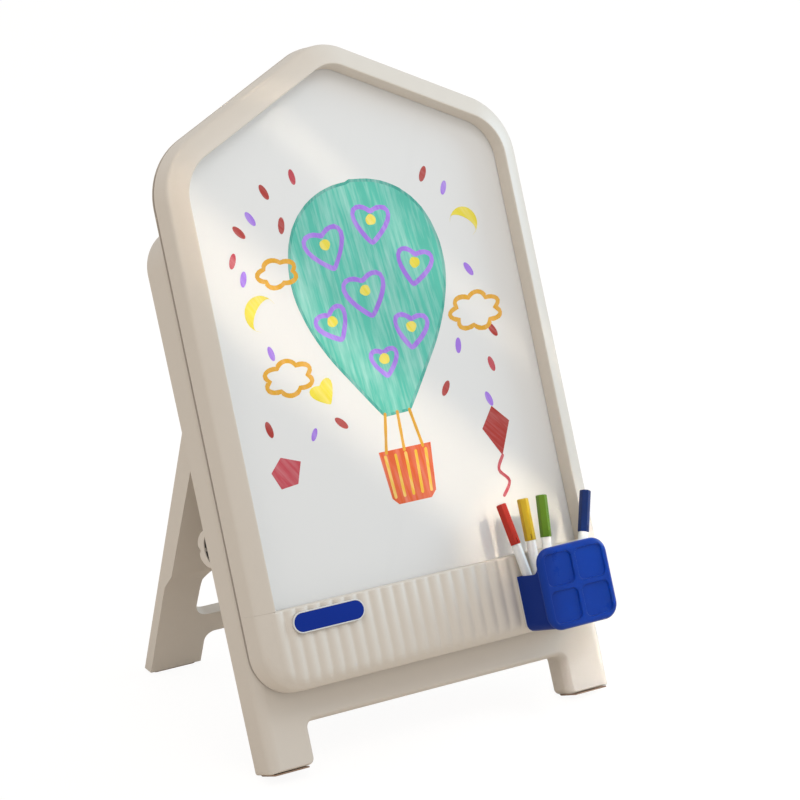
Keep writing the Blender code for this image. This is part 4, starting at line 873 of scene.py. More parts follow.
class DRAWINGBOARD_OT_apron(bpy.types.Operator):
    """Make the fluted apron below the writing sheet"""

    bl_idname = "drawing_board.fluted_apron"
    bl_label = "Fluted apron"

    def execute(self, context):
        board = context.scene.drawing_board_board
        sizes = context.scene.drawing_board_apron
        bm = bmesh.new()
        rim = self.make_face(context, bm, board, sizes)
        self.make_skirt(context, bm, board, rim)
        piece = add("apron_moulding", bm, BOARD_PLANE)
        self.hollow(context, piece, board, sizes)
        crease(piece, 40)
        dress(piece, "stand", finish("beige"), ["fluted_apron"])
        return {"FINISHED"}

    def make_face(self, context, bm, board, sizes):
        """Make the fluted face and return its rim."""
        half, bottom, radius = apron_side(context, board.draft)
        span = sizes.ribs * sizes.pitch / 2
        first = -span - sizes.rib_shift
        last = span - sizes.rib_shift
        rims = [half - sizes.pillow * share for share in RIM_SHARES]
        columns = [-u for u in rims if -u < first - MM / 2]
        count = sizes.ribs * COLUMNS_PER_RIB
        columns += [first + sizes.pitch * k / COLUMNS_PER_RIB for k in range(count + 1)]
        columns += [u for u in reversed(rims) if u > last + MM / 2]
        near = [sizes.pillow * share for share in RIM_SHARES]
        near += [sizes.end_inset + sizes.end_fade * share for share in END_SHARES]
        near.sort()
        grid = []
        for u in columns:
            into = min(max(abs(u) - (half - radius), 0.0), radius)
            low = bottom + radius - math.sqrt(radius * radius - into * into)
            tall = sizes.top - sizes.top_fade - low
            rows = [low + tall * min(step / tall, 1.0) for step in near]
            rows += [sizes.top - sizes.top_fade * share for share in TOP_SHARES]
            grid.append([bm.verts.new((u, v, apron_height(context, u, v))) for v in rows])
        for one, two in zip(grid, grid[1:]):
            for j in range(len(one) - 1):
                bm.faces.new((one[j], two[j], two[j + 1], one[j + 1]))
        rim = [column[0] for column in grid] + grid[-1][1:]
        return rim + [column[-1] for column in reversed(grid[:-1])] + list(reversed(grid[0][1:-1]))

    def make_skirt(self, context, bm, board, rim):
        """Make the skirt below the face's rim, with its groove, and close its back."""
        half, bottom, radius = apron_side(context, board.draft)
        under, over = groove_levels(board)
        sunk = board.draft - board.groove_depth
        skirt = ((board.draft - GAP / 3, over), (sunk, over), (sunk, under), (board.draft, under))
        skirt += ((board.draft, board.back),)
        stack = [rim] + [[] for _ in skirt]
        for vert in rim:
            u, v, _ = vert.co
            outward = Vector((0, 0))
            centre = Vector((math.copysign(half - radius, u), bottom + radius))
            if abs(u) > half - radius and v < bottom + radius:
                outward = (Vector((u, v)) - centre).normalized()
            elif abs(abs(u) - half) < GAP:
                outward = Vector((math.copysign(1, u), 0))
            elif v - bottom < GAP:
                outward = Vector((0, -1))
            for ring, (reach, height) in zip(stack[1:], skirt):
                ring.append(bm.verts.new((u + outward.x * reach, v + outward.y * reach, height)))
        for upper, lower in zip(stack, stack[1:]):
            for i in range(len(rim)):
                j = (i + 1) % len(rim)
                bm.faces.new((lower[i], lower[j], upper[j], upper[i]))
        bm.faces.new(list(reversed(stack[-1])))

    def hollow(self, context, piece, board, sizes):
        """Hollow the apron from behind, over the frame's lip."""

        def ring(inset, top, height):
            side, low, corner = apron_side(context, inset)
            corners = ((-side, low), (side, low), (side, top), (-side, top))
            return level(rounded(corners, (corner, corner, 0, 0), (0,) * 4, (8, 8, 0, 0)), height)

        clear = board.wall + board.draft + GAP
        inner = board.draft + sizes.pillow / 2
        ledge = board.lip_level + GAP / 2
        rings = [ring(clear, sizes.top + OVERRUN, height) for height in (-OVERRUN, ledge)]
        rings.append(ring(inner, sizes.top - sizes.wall, ledge))
        ceiling = sizes.face - sizes.wall
        rings.append(ring(inner + sizes.wall, sizes.top - sizes.wall - board.draft, ceiling))
        cut(piece, [add("apron_hollow_tool", skin(rings), BOARD_PLANE)])


# The rounding of the badge's face
BADGE_DOME_WIDTH = 0.6 * MM
BADGE_DOME_FALL = 0.35 * MM


class DRAWINGBOARD_OT_badge(bpy.types.Operator):
    """Make the pill-shaped badge: a white rim round a bare blue face"""

    bl_idname = "drawing_board.badge"
    bl_label = "Badge"

    def execute(self, context):
        board = context.scene.drawing_board_board
        sizes = context.scene.drawing_board_apron
        u = sizes.badge_margin + sizes.badge_length / 2 - board.half_width
        v = sizes.top - sizes.badge_drop - sizes.badge_height / 2
        place = BOARD_PLANE @ Matrix.Translation((u, v, sizes.face + sizes.rib_height + GAP))
        over, tall, top = sizes.badge_length, sizes.badge_height, sizes.badge_thickness
        edge = sizes.badge_rim / 2
        rings = [level(pill(over, tall, 0), 0), level(pill(over, tall, 0), top - edge)]
        for k in range(1, 13):
            angle = math.pi * k / 12
            inset = edge * (1 - math.cos(angle))
            rings.append(level(pill(over, tall, inset), top - edge + edge * math.sin(angle)))
        rings.append(level(pill(over, tall, sizes.badge_rim), top - sizes.badge_recess - GAP))
        rim = add("badge_edge", skin(rings), place)
        crease(rim, 40)
        dress(rim, "stand", finish("white"), ["badge_rim"])
        inset = sizes.badge_rim + GAP / 6
        crown = top - GAP / 3
        heights = (top - sizes.badge_recess, crown - BADGE_DOME_FALL)
        face = [level(pill(over, tall, inset), height) for height in heights]
        for side, fall in quarter(4, 1):
            edge = pill(over, tall, inset + BADGE_DOME_WIDTH * side)
            face.append(level(edge, crown - BADGE_DOME_FALL * fall))
        dome = add("badge_panel", skin(face), place)
        crease(dome, 40)
        dress(dome, "stand", finish("badge"), ["badge_face"])
        return {"FINISHED"}


class DRAWINGBOARD_OT_panels(bpy.types.Operator):
    """Finish the writing sheet, the core, the back cover and the small hidden parts"""

    bl_idname = "drawing_board.panels"
    bl_label = "Sheet, core and small parts"

    def execute(self, context):
        repaint("whiteboard_sheet", finish("enamel"))
        repaint("board_core", finish("card"))
        repaint("board_back", finish("beige"))
        repaint("pen_box_pad", finish("white"))
        for name in ("hinge_pin_left", "hinge_pin_right", "box_magnet_left", "box_magnet_right"):
            repaint(name, finish("steel"))
        for side in ("front_left", "front_right", "rear_left", "rear_right"):
            repaint(f"foot_pad_{side}", finish("rubber"))
        return {"FINISHED"}


# Stand


# Sizes of the screws, pins and bolt, and of their holes
SCREW_HEAD = 4.2 * MM
SCREW_SHANK = 1.8 * MM
SCREW_HOLE = 2.2 * MM
PIN_HOLE = 4.25 * MM
SCREW_DOME = 2.4 * MM
SCREW_SHARES = (0.25, 0.5, 0.7, 0.85, 0.95, 1.0)
SCREW_SHANK_END = 10.5 * MM
SCREW_POINT = (0.4 * MM, 12.0 * MM)
SCREW_CROSS = (0.45 * MM, 2.3 * MM)
BOLT_HEAD = 3.0 * MM
BOLT_SHANK = 1.6 * MM
BOLT_HOLE = 1.85 * MM
BOLT_LENGTH = 12.0 * MM

# How far the pins' holes run into the posts and into the leg
PIN_IN_POST = 10.3 * MM
PIN_IN_LEG = 15.3 * MM


def stand_depth(sizes, v):
    """Return how deep the stand is at a height along it."""
    return sizes.depth + sizes.depth_gain * v / sizes.top


def stand_ring(sizes, inset, height=None, back_gap=0.0):
    """Return one ring of the stand, at a front level or along its slanted back."""
    floor = inset / 4 if height is not None else inset
    wide = sizes.half_width
    foot = sizes.foot_inner
    corners = (
        (-wide, -sizes.foot_end),
        (-foot, -sizes.foot_end),
        (-foot, sizes.rail_bottom),
        (foot, sizes.rail_bottom),
        (foot, -sizes.foot_end),
        (wide, -sizes.foot_end),
        (wide, sizes.top),
        (-wide, sizes.top),
    )
    radii = (3 * MM, 8 * MM, 6 * MM, 6 * MM, 8 * MM, 3 * MM, sizes.top_radius, sizes.top_radius)
    inward = inset / 2 if height is not None else inset + sizes.foot_draft
    insets = (floor, inward, inward, inward, floor, inset, inset, inset)
    outline = rounded(corners, radii, insets, (5, 8, 8, 8, 8, 5, 20, 20))
    if height is not None:
        return level(outline, height)
    return [Vector((p.x, p.y, -stand_depth(sizes, p.y) + back_gap)) for p in outline]


def screw_places(sizes):
    """Return where the six board screws go through the stand's web."""
    side = (sizes.window_half + sizes.bay_half) / 2
    bay = sizes.bay_top - sizes.rail_top
    top = (sizes.bay_top + sizes.top) / 2
    places = []
    for share in (0.22, 0.80):
        places += [(-side, sizes.rail_top + bay * share), (side, sizes.rail_top + bay * share)]
    return places + [(-sizes.window_half * 0.58, top), (sizes.window_half * 0.58, top)]


def knob_place(sizes):
    """Return the place of the knob's axis on the back of the left post."""
    u = -sizes.half_width + 2.5 * MM + sizes.knob_thickness / 2
    return Vector((u, sizes.knob_up, -stand_depth(sizes, sizes.knob_up + sizes.knob_half) - GAP))


class DRAWINGBOARD_OT_stand(bpy.types.Operator):
    """Make the front stand: two posts with feet, a rail, a top bar and its bays"""

    bl_idname = "drawing_board.front_stand"
    bl_label = "Front stand"

    def execute(self, context):
        sizes = context.scene.drawing_board_stand
        front, back = sizes.front_round, sizes.back_round
        rings = [stand_ring(sizes, front * fall, -front * side) for side, fall in quarter(10)]
        rings += [stand_ring(sizes, back * side, None, back * fall) for side, fall in quarter(4)]
        piece = add("stand_moulding", skin(rings), BOARD_PLANE)
        deep = -(sizes.depth + sizes.depth_gain) - OVERRUN
        web, wall = -sizes.web, sizes.wall
        rail = (sizes.rail_bottom + wall, sizes.rail_top - wall)
        bays = (
            ("leg_bay_tool", sizes.bay_half, (sizes.rail_top, sizes.bay_top), 6 * MM, web),
            ("rail_bay_tool", sizes.foot_inner, rail, 6 * MM, web),
            ("top_bay_tool", sizes.bay_half, (sizes.bay_top + wall, sizes.top - wall), 22.5 * MM, web),
            ("window_tool", sizes.window_half, (sizes.window_bottom, sizes.window_top), 20 * MM, OVERRUN),
        )
        tools = []
        for name, half, (low, high), radius, end in bays:
            outline = box_outline(-half, half, low, high, radius, 8)
            tools.append(add(name, prism(outline, deep, end), BOARD_PLANE))
        cut(piece, tools)
        holes = []
        for index, place in enumerate(screw_places(sizes)):
            bm = prism(circle(SCREW_HOLE, 24, place), web - OVERRUN, OVERRUN)
            holes.append(add(f"screw_hole_tool_{index}", bm, BOARD_PLANE))
        ring = circle(PIN_HOLE, 32, (PIVOT_UP, -PIVOT_DEPTH))
        for side in (-1, 1):
            ends = sorted((side * (sizes.bay_half - OVERRUN), side * (sizes.bay_half + PIN_IN_POST)))
            holes.append(add(f"pin_hole_tool_{side}", skin(along_u(ring, *ends)), BOARD_PLANE))
        seat = knob_place(sizes)
        bolt = circle(BOLT_HOLE, 24, seat.to_2d())
        bm = prism(bolt, seat.z - OVERRUN, seat.z + BOLT_LENGTH + GAP)
        holes.append(add("bolt_hole_tool", bm, BOARD_PLANE))
        cut(piece, holes)
        soften(piece, 0.7 * MM, 2, 34)
        dress(piece, "stand", finish("beige"), ["front_stand"])
        return {"FINISHED"}


class DRAWINGBOARD_OT_screws(bpy.types.Operator):
    """Make the six screws that hold the board to the stand"""

    bl_idname = "drawing_board.board_screws"
    bl_label = "Board screws"

    def execute(self, context):
        sizes = context.scene.drawing_board_stand
        top = -sizes.web - GAP
        for index, (u, v) in enumerate(screw_places(sizes)):
            profile = []
            for share in SCREW_SHARES:
                radius = SCREW_HEAD * math.sqrt(1 - (1 - share) ** 2)
                profile.append((radius, top - SCREW_DOME * (1 - share * 0.6)))
            profile += [(SCREW_HEAD, top), (SCREW_SHANK, top), (SCREW_SHANK, SCREW_SHANK_END)]
            profile.append(SCREW_POINT)
            place = BOARD_PLANE @ Matrix.Translation((u, v, 0)) @ Matrix.Rotation(0.7 * index, 4, "Z")
            piece = add(f"cross_head_screw_{index + 1}", lathe(profile), place)
            tools = []
            for turn, (long, slim) in enumerate((SCREW_CROSS, SCREW_CROSS[::-1])):
                outline = box_outline(-long, long, -slim, slim, 0.1 * MM, 2)
                tools.append(add(f"cross_tool_{turn}", prism(outline, top - 4 * MM, top - MM), place))
            cut(piece, tools)
            crease(piece, 35)
            dress(piece, "stand", finish("steel"), [f"board_screw_{index + 1}"])
        return {"FINISHED"}


# Outline of the knob, as shares of its half length and of its height: the notched rim, and one half
# of the bow that keeps its underside off the post
KNOB_RIM = (
    (-1.00, 0.0),
    (-1.00, 0.22),
    (-0.90, 0.52),
    (-0.66, 0.83),
    (-0.40, 0.98),
    (-0.20, 0.98),
    (0.00, 0.84),
)
KNOB_BOW = ((1.0, 0.0), (0.82, 0.06), (0.62, 0.18), (0.38, 0.34), (0.0, 0.42))
KNOB_EDGE = 1.8 * MM
KNOB_BORE = 3.25 * MM
# Colour of the dark pieces under the knob's bow: painted shade in the gap between the knob and the post
KNOB_GAP_SHADOW_SHADE = (0.010, 0.008, 0.006)


def mirrored(half):
    """Return a line and its mirror image, joined at the line's last point."""
    return list(half) + [(-x, y) for x, y in reversed(half[:-1])]


class DRAWINGBOARD_OT_knob(bpy.types.Operator):
    """Make the wing knob on the left post and the bolt it turns on"""

    bl_idname = "drawing_board.wing_knob"
    bl_label = "Wing knob"

    def execute(self, context):
        sizes = context.scene.drawing_board_stand
        place = BOARD_PLANE @ Matrix.Translation(knob_place(sizes))
        lower = through([Vector(p) for p in mirrored(KNOB_BOW)], 4)
        self.make_wings(sizes, place, lower)
        self.make_gap_shadows(sizes, place, lower)
        head = self.bolt_seat(sizes) - GAP
        profile = ((2.6 * MM, head - 2.5 * MM), (BOLT_HEAD, head - 2.1 * MM), (BOLT_HEAD, head))
        profile += ((BOLT_SHANK, head), (BOLT_SHANK, BOLT_LENGTH))
        bolt = add("knob_bolt_turned", lathe(profile), place)
        crease(bolt, 35)
        dress(bolt, "stand", finish("steel"), ["knob_bolt"])
        return {"FINISHED"}

    def bolt_seat(self, sizes):
        """Return the height of the bolt head's seat in the knob."""
        return 5.3 * MM - sizes.knob_height

    def make_wings(self, sizes, place, lower):
        """Make the knob with its rounded rims and its stepped bore."""
        upper = through([Vector(p) for p in mirrored(KNOB_RIM)], 4)
        outline = [(sizes.knob_half * p.x, -sizes.knob_height * p.y) for p in upper + lower[1:-1]]
        half = sizes.knob_thickness / 2
        centre = -sizes.knob_height / 2
        rings = []
        for sign in (-1, 1):
            for side, fall in quarter(5)[::-sign]:
                slim = 1 - KNOB_EDGE * fall / sizes.knob_half
                u = sign * (half - KNOB_EDGE * side)
                rings.append([Vector((u, p[0] * slim, centre + (p[1] - centre) * slim)) for p in outline])
        knob = add("wing_knob_moulding", skin(rings), place)
        seat = self.bolt_seat(sizes)
        bore = ((KNOB_BORE, -sizes.knob_height - OVERRUN), (KNOB_BORE, seat))
        bore += ((BOLT_HOLE, seat), (BOLT_HOLE, OVERRUN))
        cut(knob, [add("knob_bore_tool", lathe(bore), place)])
        crease(knob, 38)
        dress(knob, "wing_knob", finish("beige"), ["wing_knob"])

    def make_gap_shadows(self, sizes, place, lower):
        """Make the two dark pieces under the bow, one on each side of the bolt: painted shade in the gap
        between the knob and the post.
        """
        reach = sizes.knob_thickness / 2 - MM
        for index, sign in enumerate((1, -1)):
            bow = [p for p in lower if 0.03 < p.x * sign < 0.85]
            bow = [(sizes.knob_half * p.x, -sizes.knob_height * p.y * 0.96) for p in bow]
            bow += [(end, -GAP / 3) for end in sorted((bow[0][0], bow[-1][0]))]
            shade_piece = add(f"knob_liner_{index + 1}", skin(along_u(bow, -reach, reach)), place)
            # Near-black felt that paints the shade in the gap under the knob
            dress(shade_piece, "wing_knob", felt(f"liner_felt_{index + 1}", KNOB_GAP_SHADOW_SHADE))


# Rear leg


# Solid width beside the leg's hollow, for the pins, and the hollow's top, from the hinge
LEG_BEARING = 21 * MM
LEG_HOLLOW_TOP = -10 * MM


def leg_reach(sizes):
    """Return the distance from the hinge down to the floor along the leg's rear face."""
    return (HINGE.z + sizes.back * math.sin(LEG_LEAN)) / math.cos(LEG_LEAN)


def leg_floor(sizes, s):
    """Return where the floor side of the leg's foot lies, at a depth of the leg."""
    return (sizes.pad + GAP + s * math.sin(LEG_LEAN) - HINGE.z) / math.cos(LEG_LEAN)


def leg_profile(sizes, shrink, skin_share):
    """Return the leg's side profile, smaller by a rim and under a skin."""
    low = -leg_reach(sizes)
    back = -sizes.back - (OVERRUN if skin_share else 0.0)
    thin = sizes.thin - sizes.back - skin_share
    step = sizes.step - sizes.back - skin_share
    thick = sizes.front - skin_share
    top = sizes.tail - shrink
    return [
        (leg_floor(sizes, -sizes.back) + shrink, back),
        (top, back),
        (top, thick),
        (low + sizes.step_high + skin_share / 2, step),
        (low + sizes.step_low + skin_share / 2, thin),
        (leg_floor(sizes, sizes.thin - sizes.back) + shrink, thin),
    ]


def leg_outline(sizes, rim):
    """Return the leg's front view, with the arch between its feet."""
    low = leg_floor(sizes, -sizes.back) - OVERRUN
    arch = sizes.arch - leg_reach(sizes)
    wide = sizes.half_width
    foot = sizes.foot_inner
    corners = (
        (-wide, low),
        (-foot, low),
        (-foot, arch),
        (foot, arch),
        (foot, low),
        (wide, low),
        (wide, sizes.tail),
        (-wide, sizes.tail),
    )
    radii = (0, 0, sizes.arch_radius, sizes.arch_radius, 0, 0, sizes.top_radius, sizes.top_radius)
    return rounded(corners, radii, (rim,) * 8, (0, 0, 10, 10, 0, 0, 14, 14))


def leg_window(sizes, rim):
    """Return the window above the leg's cross bar, narrower towards its top."""
    wide = sizes.window_half
    narrow = wide - sizes.window_taper
    low = sizes.window_low - leg_reach(sizes)
    high = sizes.window_high - leg_reach(sizes)
    corners = ((-wide, low), (wide, low), (narrow, high), (-narrow, high))
    radii = (sizes.window_low_radius,) * 2 + (sizes.window_high_radius,) * 2
    return rounded(corners, radii, (-rim,) * 4, (10, 10, 20, 20))


def leg_prism(sizes, name, outline):
    """Make a tool through the leg from its front view."""
    low = -sizes.back - 2 * OVERRUN
    high = sizes.front + 2 * OVERRUN
    return add(name, prism(outline, low, high), LEG_PLANE)


class DRAWINGBOARD_OT_rear_leg(bpy.types.Operator):
    """Make the rear leg: a stepped panel with an arch, a window and a ribbed hollow back"""

    bl_idname = "drawing_board.rear_leg"
    bl_label = "Rear leg"

    def execute(self, context):
        sizes = context.scene.drawing_board_leg
        wide = sizes.half_width + OVERRUN
        piece = add("leg_moulding", skin(along_u(leg_profile(sizes, 0.0, 0.0), -wide, wide)), LEG_PLANE)
        cut(piece, [leg_prism(sizes, "leg_shape_tool", leg_outline(sizes, 0.0))], "INTERSECT")
        cut(piece, [leg_prism(sizes, "leg_window_tool", leg_window(sizes, 0.0))])
        half = sizes.half_width - LEG_BEARING
        profile = leg_profile(sizes, sizes.rim, sizes.skin)
        profile[1] = (LEG_HOLLOW_TOP, profile[1][1])
        profile[2] = (LEG_HOLLOW_TOP, profile[2][1])
        hollow = add("leg_hollow_tool", skin(along_u(profile, -half, half)), LEG_PLANE)
        cut(hollow, [leg_prism(sizes, "hollow_rim_tool", leg_outline(sizes, sizes.rim))], "INTERSECT")
        ribs = [leg_prism(sizes, "window_rim_tool", leg_window(sizes, sizes.rim))]
        edge = sizes.rib / 2
        for index in range(sizes.ribs):
            u = -half + 2 * half * (index + 1) / (sizes.ribs + 1)
            outline = box_outline(u - edge, u + edge, -leg_reach(sizes), sizes.tail, 0, 0)
            ribs.append(leg_prism(sizes, f"rib_tool_{index}", outline))
        cut(hollow, ribs)
        cut(piece, [hollow])
        pins = []
        for side in (-1, 1):
            ends = sorted((side * (sizes.half_width - PIN_IN_LEG), side * wide))
            bm = skin(along_u(circle(PIN_HOLE, 32), *ends))
            pins.append(add(f"leg_pin_tool_{side}", bm, LEG_PLANE))
        cut(piece, pins)
        soften(piece, 0.9 * MM, 3, 30)
        dress(piece, "rear_leg", finish("beige"), ["rear_leg"])
        return {"FINISHED"}


# Pen box and markers


def box_seat(sizes):
    """Return the place of the pen box."""
    return BOARD_PLANE @ Matrix.Translation((sizes.centre, sizes.bottom, sizes.seat))


# Small roundings of the plate and of its panes, and how far the panes' tools stand above the face
PLATE_BACK_ROUND = 1.2 * MM
PANE_FILLET = 0.5 * MM
PANE_ROUND = 0.75 * MM
PANE_LIFT = 0.03 * MM


class DRAWINGBOARD_OT_pen_box(bpy.types.Operator):
    """Make the pen box: an open tray behind a plate with four recessed panes"""

    bl_idname = "drawing_board.pen_box"
    bl_label = "Pen box"

    def execute(self, context):
        sizes = context.scene.drawing_board_box
        self.make_tray(sizes)
        self.make_plate(sizes)
        return {"FINISHED"}

    def make_tray(self, sizes):
        """Make the tray, whose front wall stands taller than its sides."""
        seat = box_seat(sizes)
        half = sizes.width / 2
        low = sizes.pad + GAP
        high = low + sizes.depth
        outline = box_outline(-half, half, 0.0, sizes.front_height, sizes.corner, 12)
        tray = add("pen_box_tray_moulding", prism(outline, low, high), seat)
        inner = half - sizes.wall
        top = sizes.front_height + OVERRUN
        radius = sizes.corner - sizes.wall
        corners = ((-inner, sizes.floor), (inner, sizes.floor), (inner, top), (-inner, top))
        hollow = rounded(corners, (radius, radius, 0, 0), (0,) * 4, (12, 12, 0, 0))
        inside = prism(hollow, low + sizes.wall, high - sizes.wall)
        sill = sizes.side_height
        fillet = sizes.fillet
        front = high - sizes.wall
        rim = [(top, low - OVERRUN), (sill, low - OVERRUN)]
        rim += [(sill + fillet * side, front - fillet * fall) for side, fall in quarter(14)]
        rim.append((top, front))
        wide = half + OVERRUN
        above = skin(along_u(rim, -wide, wide))
        cut(tray, [add("box_inside_tool", inside, seat), add("box_rim_tool", above, seat)])
        soften(tray, 0.45 * MM, 3, 40)
        dress(tray, "pen_box", finish("tray"), ["pen_box_tray"])

    def make_plate(self, sizes):
        """Make the front plate, with rounded edges and four recessed panes."""
        seat = box_seat(sizes)
        half = sizes.plate / 2
        low = sizes.pad + sizes.depth + 2 * GAP
        bottom = -sizes.plate_drop
        top = low + sizes.plate_thickness
        edge = sizes.plate_edge
        profile = [(PLATE_BACK_ROUND, low), (PLATE_BACK_ROUND / 3, low + PLATE_BACK_ROUND / 3)]
        profile.append((0.0, low + PLATE_BACK_ROUND))
        profile += [(edge * side, top - edge * fall) for side, fall in quarter(10, 1)]
        rings = []
        for inset, height in profile:
            sides = (-half, half, bottom, bottom + sizes.plate)
            rings.append(level(box_outline(*sides, sizes.plate_radius, 14, inset), height))
        plate = add("pen_box_plate_moulding", skin(rings), seat)
        pane = (sizes.plate - 2 * sizes.plate_rim - sizes.plate_bar) / 2
        floor = top - sizes.pane_depth
        brim = top + PANE_LIFT
        stack = [(PANE_FILLET * fall, floor + PANE_FILLET * side) for side, fall in quarter(6)]
        stack += [(-PANE_ROUND * side, brim - PANE_ROUND * fall) for side, fall in quarter(6)]
        stack.append((-PANE_ROUND, top + OVERRUN))
        tools = []
        for row in range(2):
            for column in range(2):
                left = -half + sizes.plate_rim + column * (pane + sizes.plate_bar)
                base = bottom + sizes.plate_rim + row * (pane + sizes.plate_bar)
                sides = (left, left + pane, base, base + pane)
                levels = []
                for inset, height in stack:
                    levels.append(level(box_outline(*sides, sizes.pane_radius, 10, inset), height))
                tools.append(add(f"pane_tool_{row}_{column}", skin(levels), seat))
        cut(plate, tools)
        crease(plate, 35)
        dress(plate, "pen_box", finish("box"), ["pen_box_front"])


# Each marker's foot as shares of the box's inside, and its lean in degrees
MARKER_PLACE_SHARES = {
    "red": (0.141, 0.392, -5.5, 8.2),
    "yellow": (0.227, 0.164, 1.6, 1.3),
    "green": (0.374, 0.160, 6.7, 1.1),
    "blue": (0.648, 0.463, 18.7, 2.3),
}


# Hidden steps of the markers: radii and heights of the plug, the barrel's ends, the neck and the nib's bore
MARKER_EDGE = 0.5 * MM
PLUG_FOOT = 2.6 * MM
PLUG_STEM = 3.3 * MM
PLUG_TOP = 5.6 * MM
BARREL_FOOT = 2.9 * MM
BARREL_BORE = 3.6 * MM
BARREL_CEILING = 5.9 * MM
NECK_RADIUS = 4.0 * MM
NECK_HEIGHT = 9.0 * MM
NIB_BORE = 1.9 * MM
NIB_DEPTH = 6.3 * MM

# Small sizes of the caps, their slits' sides, and how far the dark piece of painted shade at each slit's
# floor and the slits' cuts lie from the axis
CAP_BORE = 4.3 * MM
CAP_BORE_DEPTH = 20.0 * MM
CAP_CORNER = 1.0 * MM
CAP_EDGE = 0.4 * MM
CAP_CROWN = 1.6 * MM
SLIT_SIDES = (-0.5 * MM, 0.5 * MM, 1.2 * MM, 6.8 * MM)
SLIT_CORNER = 0.4 * MM
SLIT_SHADE_LEVELS = (4.4 * MM, 4.8 * MM)
SLIT_CUT = (4.5 * MM, 7.0 * MM)

# How far each cap is turned on its barrel, in radians, and the side of its slit in degrees
CAP_TURNS = {
    "red": (0.0, -86.0),
    "yellow": (math.pi / 6, -104.0),
    "green": (math.pi / 6, -76.0),
    "blue": (math.pi / 6, -72.0),
}


def marker_place(sizes, name):
    """Return the place of a marker that stands in the pen box on its foot."""
    across, deep, lean_right, lean_back = MARKER_PLACE_SHARES[name]
    inner = sizes.width / 2 - sizes.wall
    back = sizes.pad + GAP + sizes.wall
    front = sizes.pad + GAP + sizes.depth - sizes.wall
    right, rear = (math.tan(math.radians(lean)) for lean in (lean_right, lean_back))
    axis = Vector((right, 1, -rear)).normalized()
    tip = math.sqrt(1 - axis.y * axis.y) * sizes.barrel
    foot = Vector((-inner + 2 * inner * across, sizes.floor + GAP + tip, back + (front - back) * deep))
    side = axis.cross(Vector((0, 0, 1))).normalized()
    turned = Matrix((side, axis.cross(side), axis)).transposed().to_4x4()
    return box_seat(sizes) @ Matrix.Translation(foot) @ turned


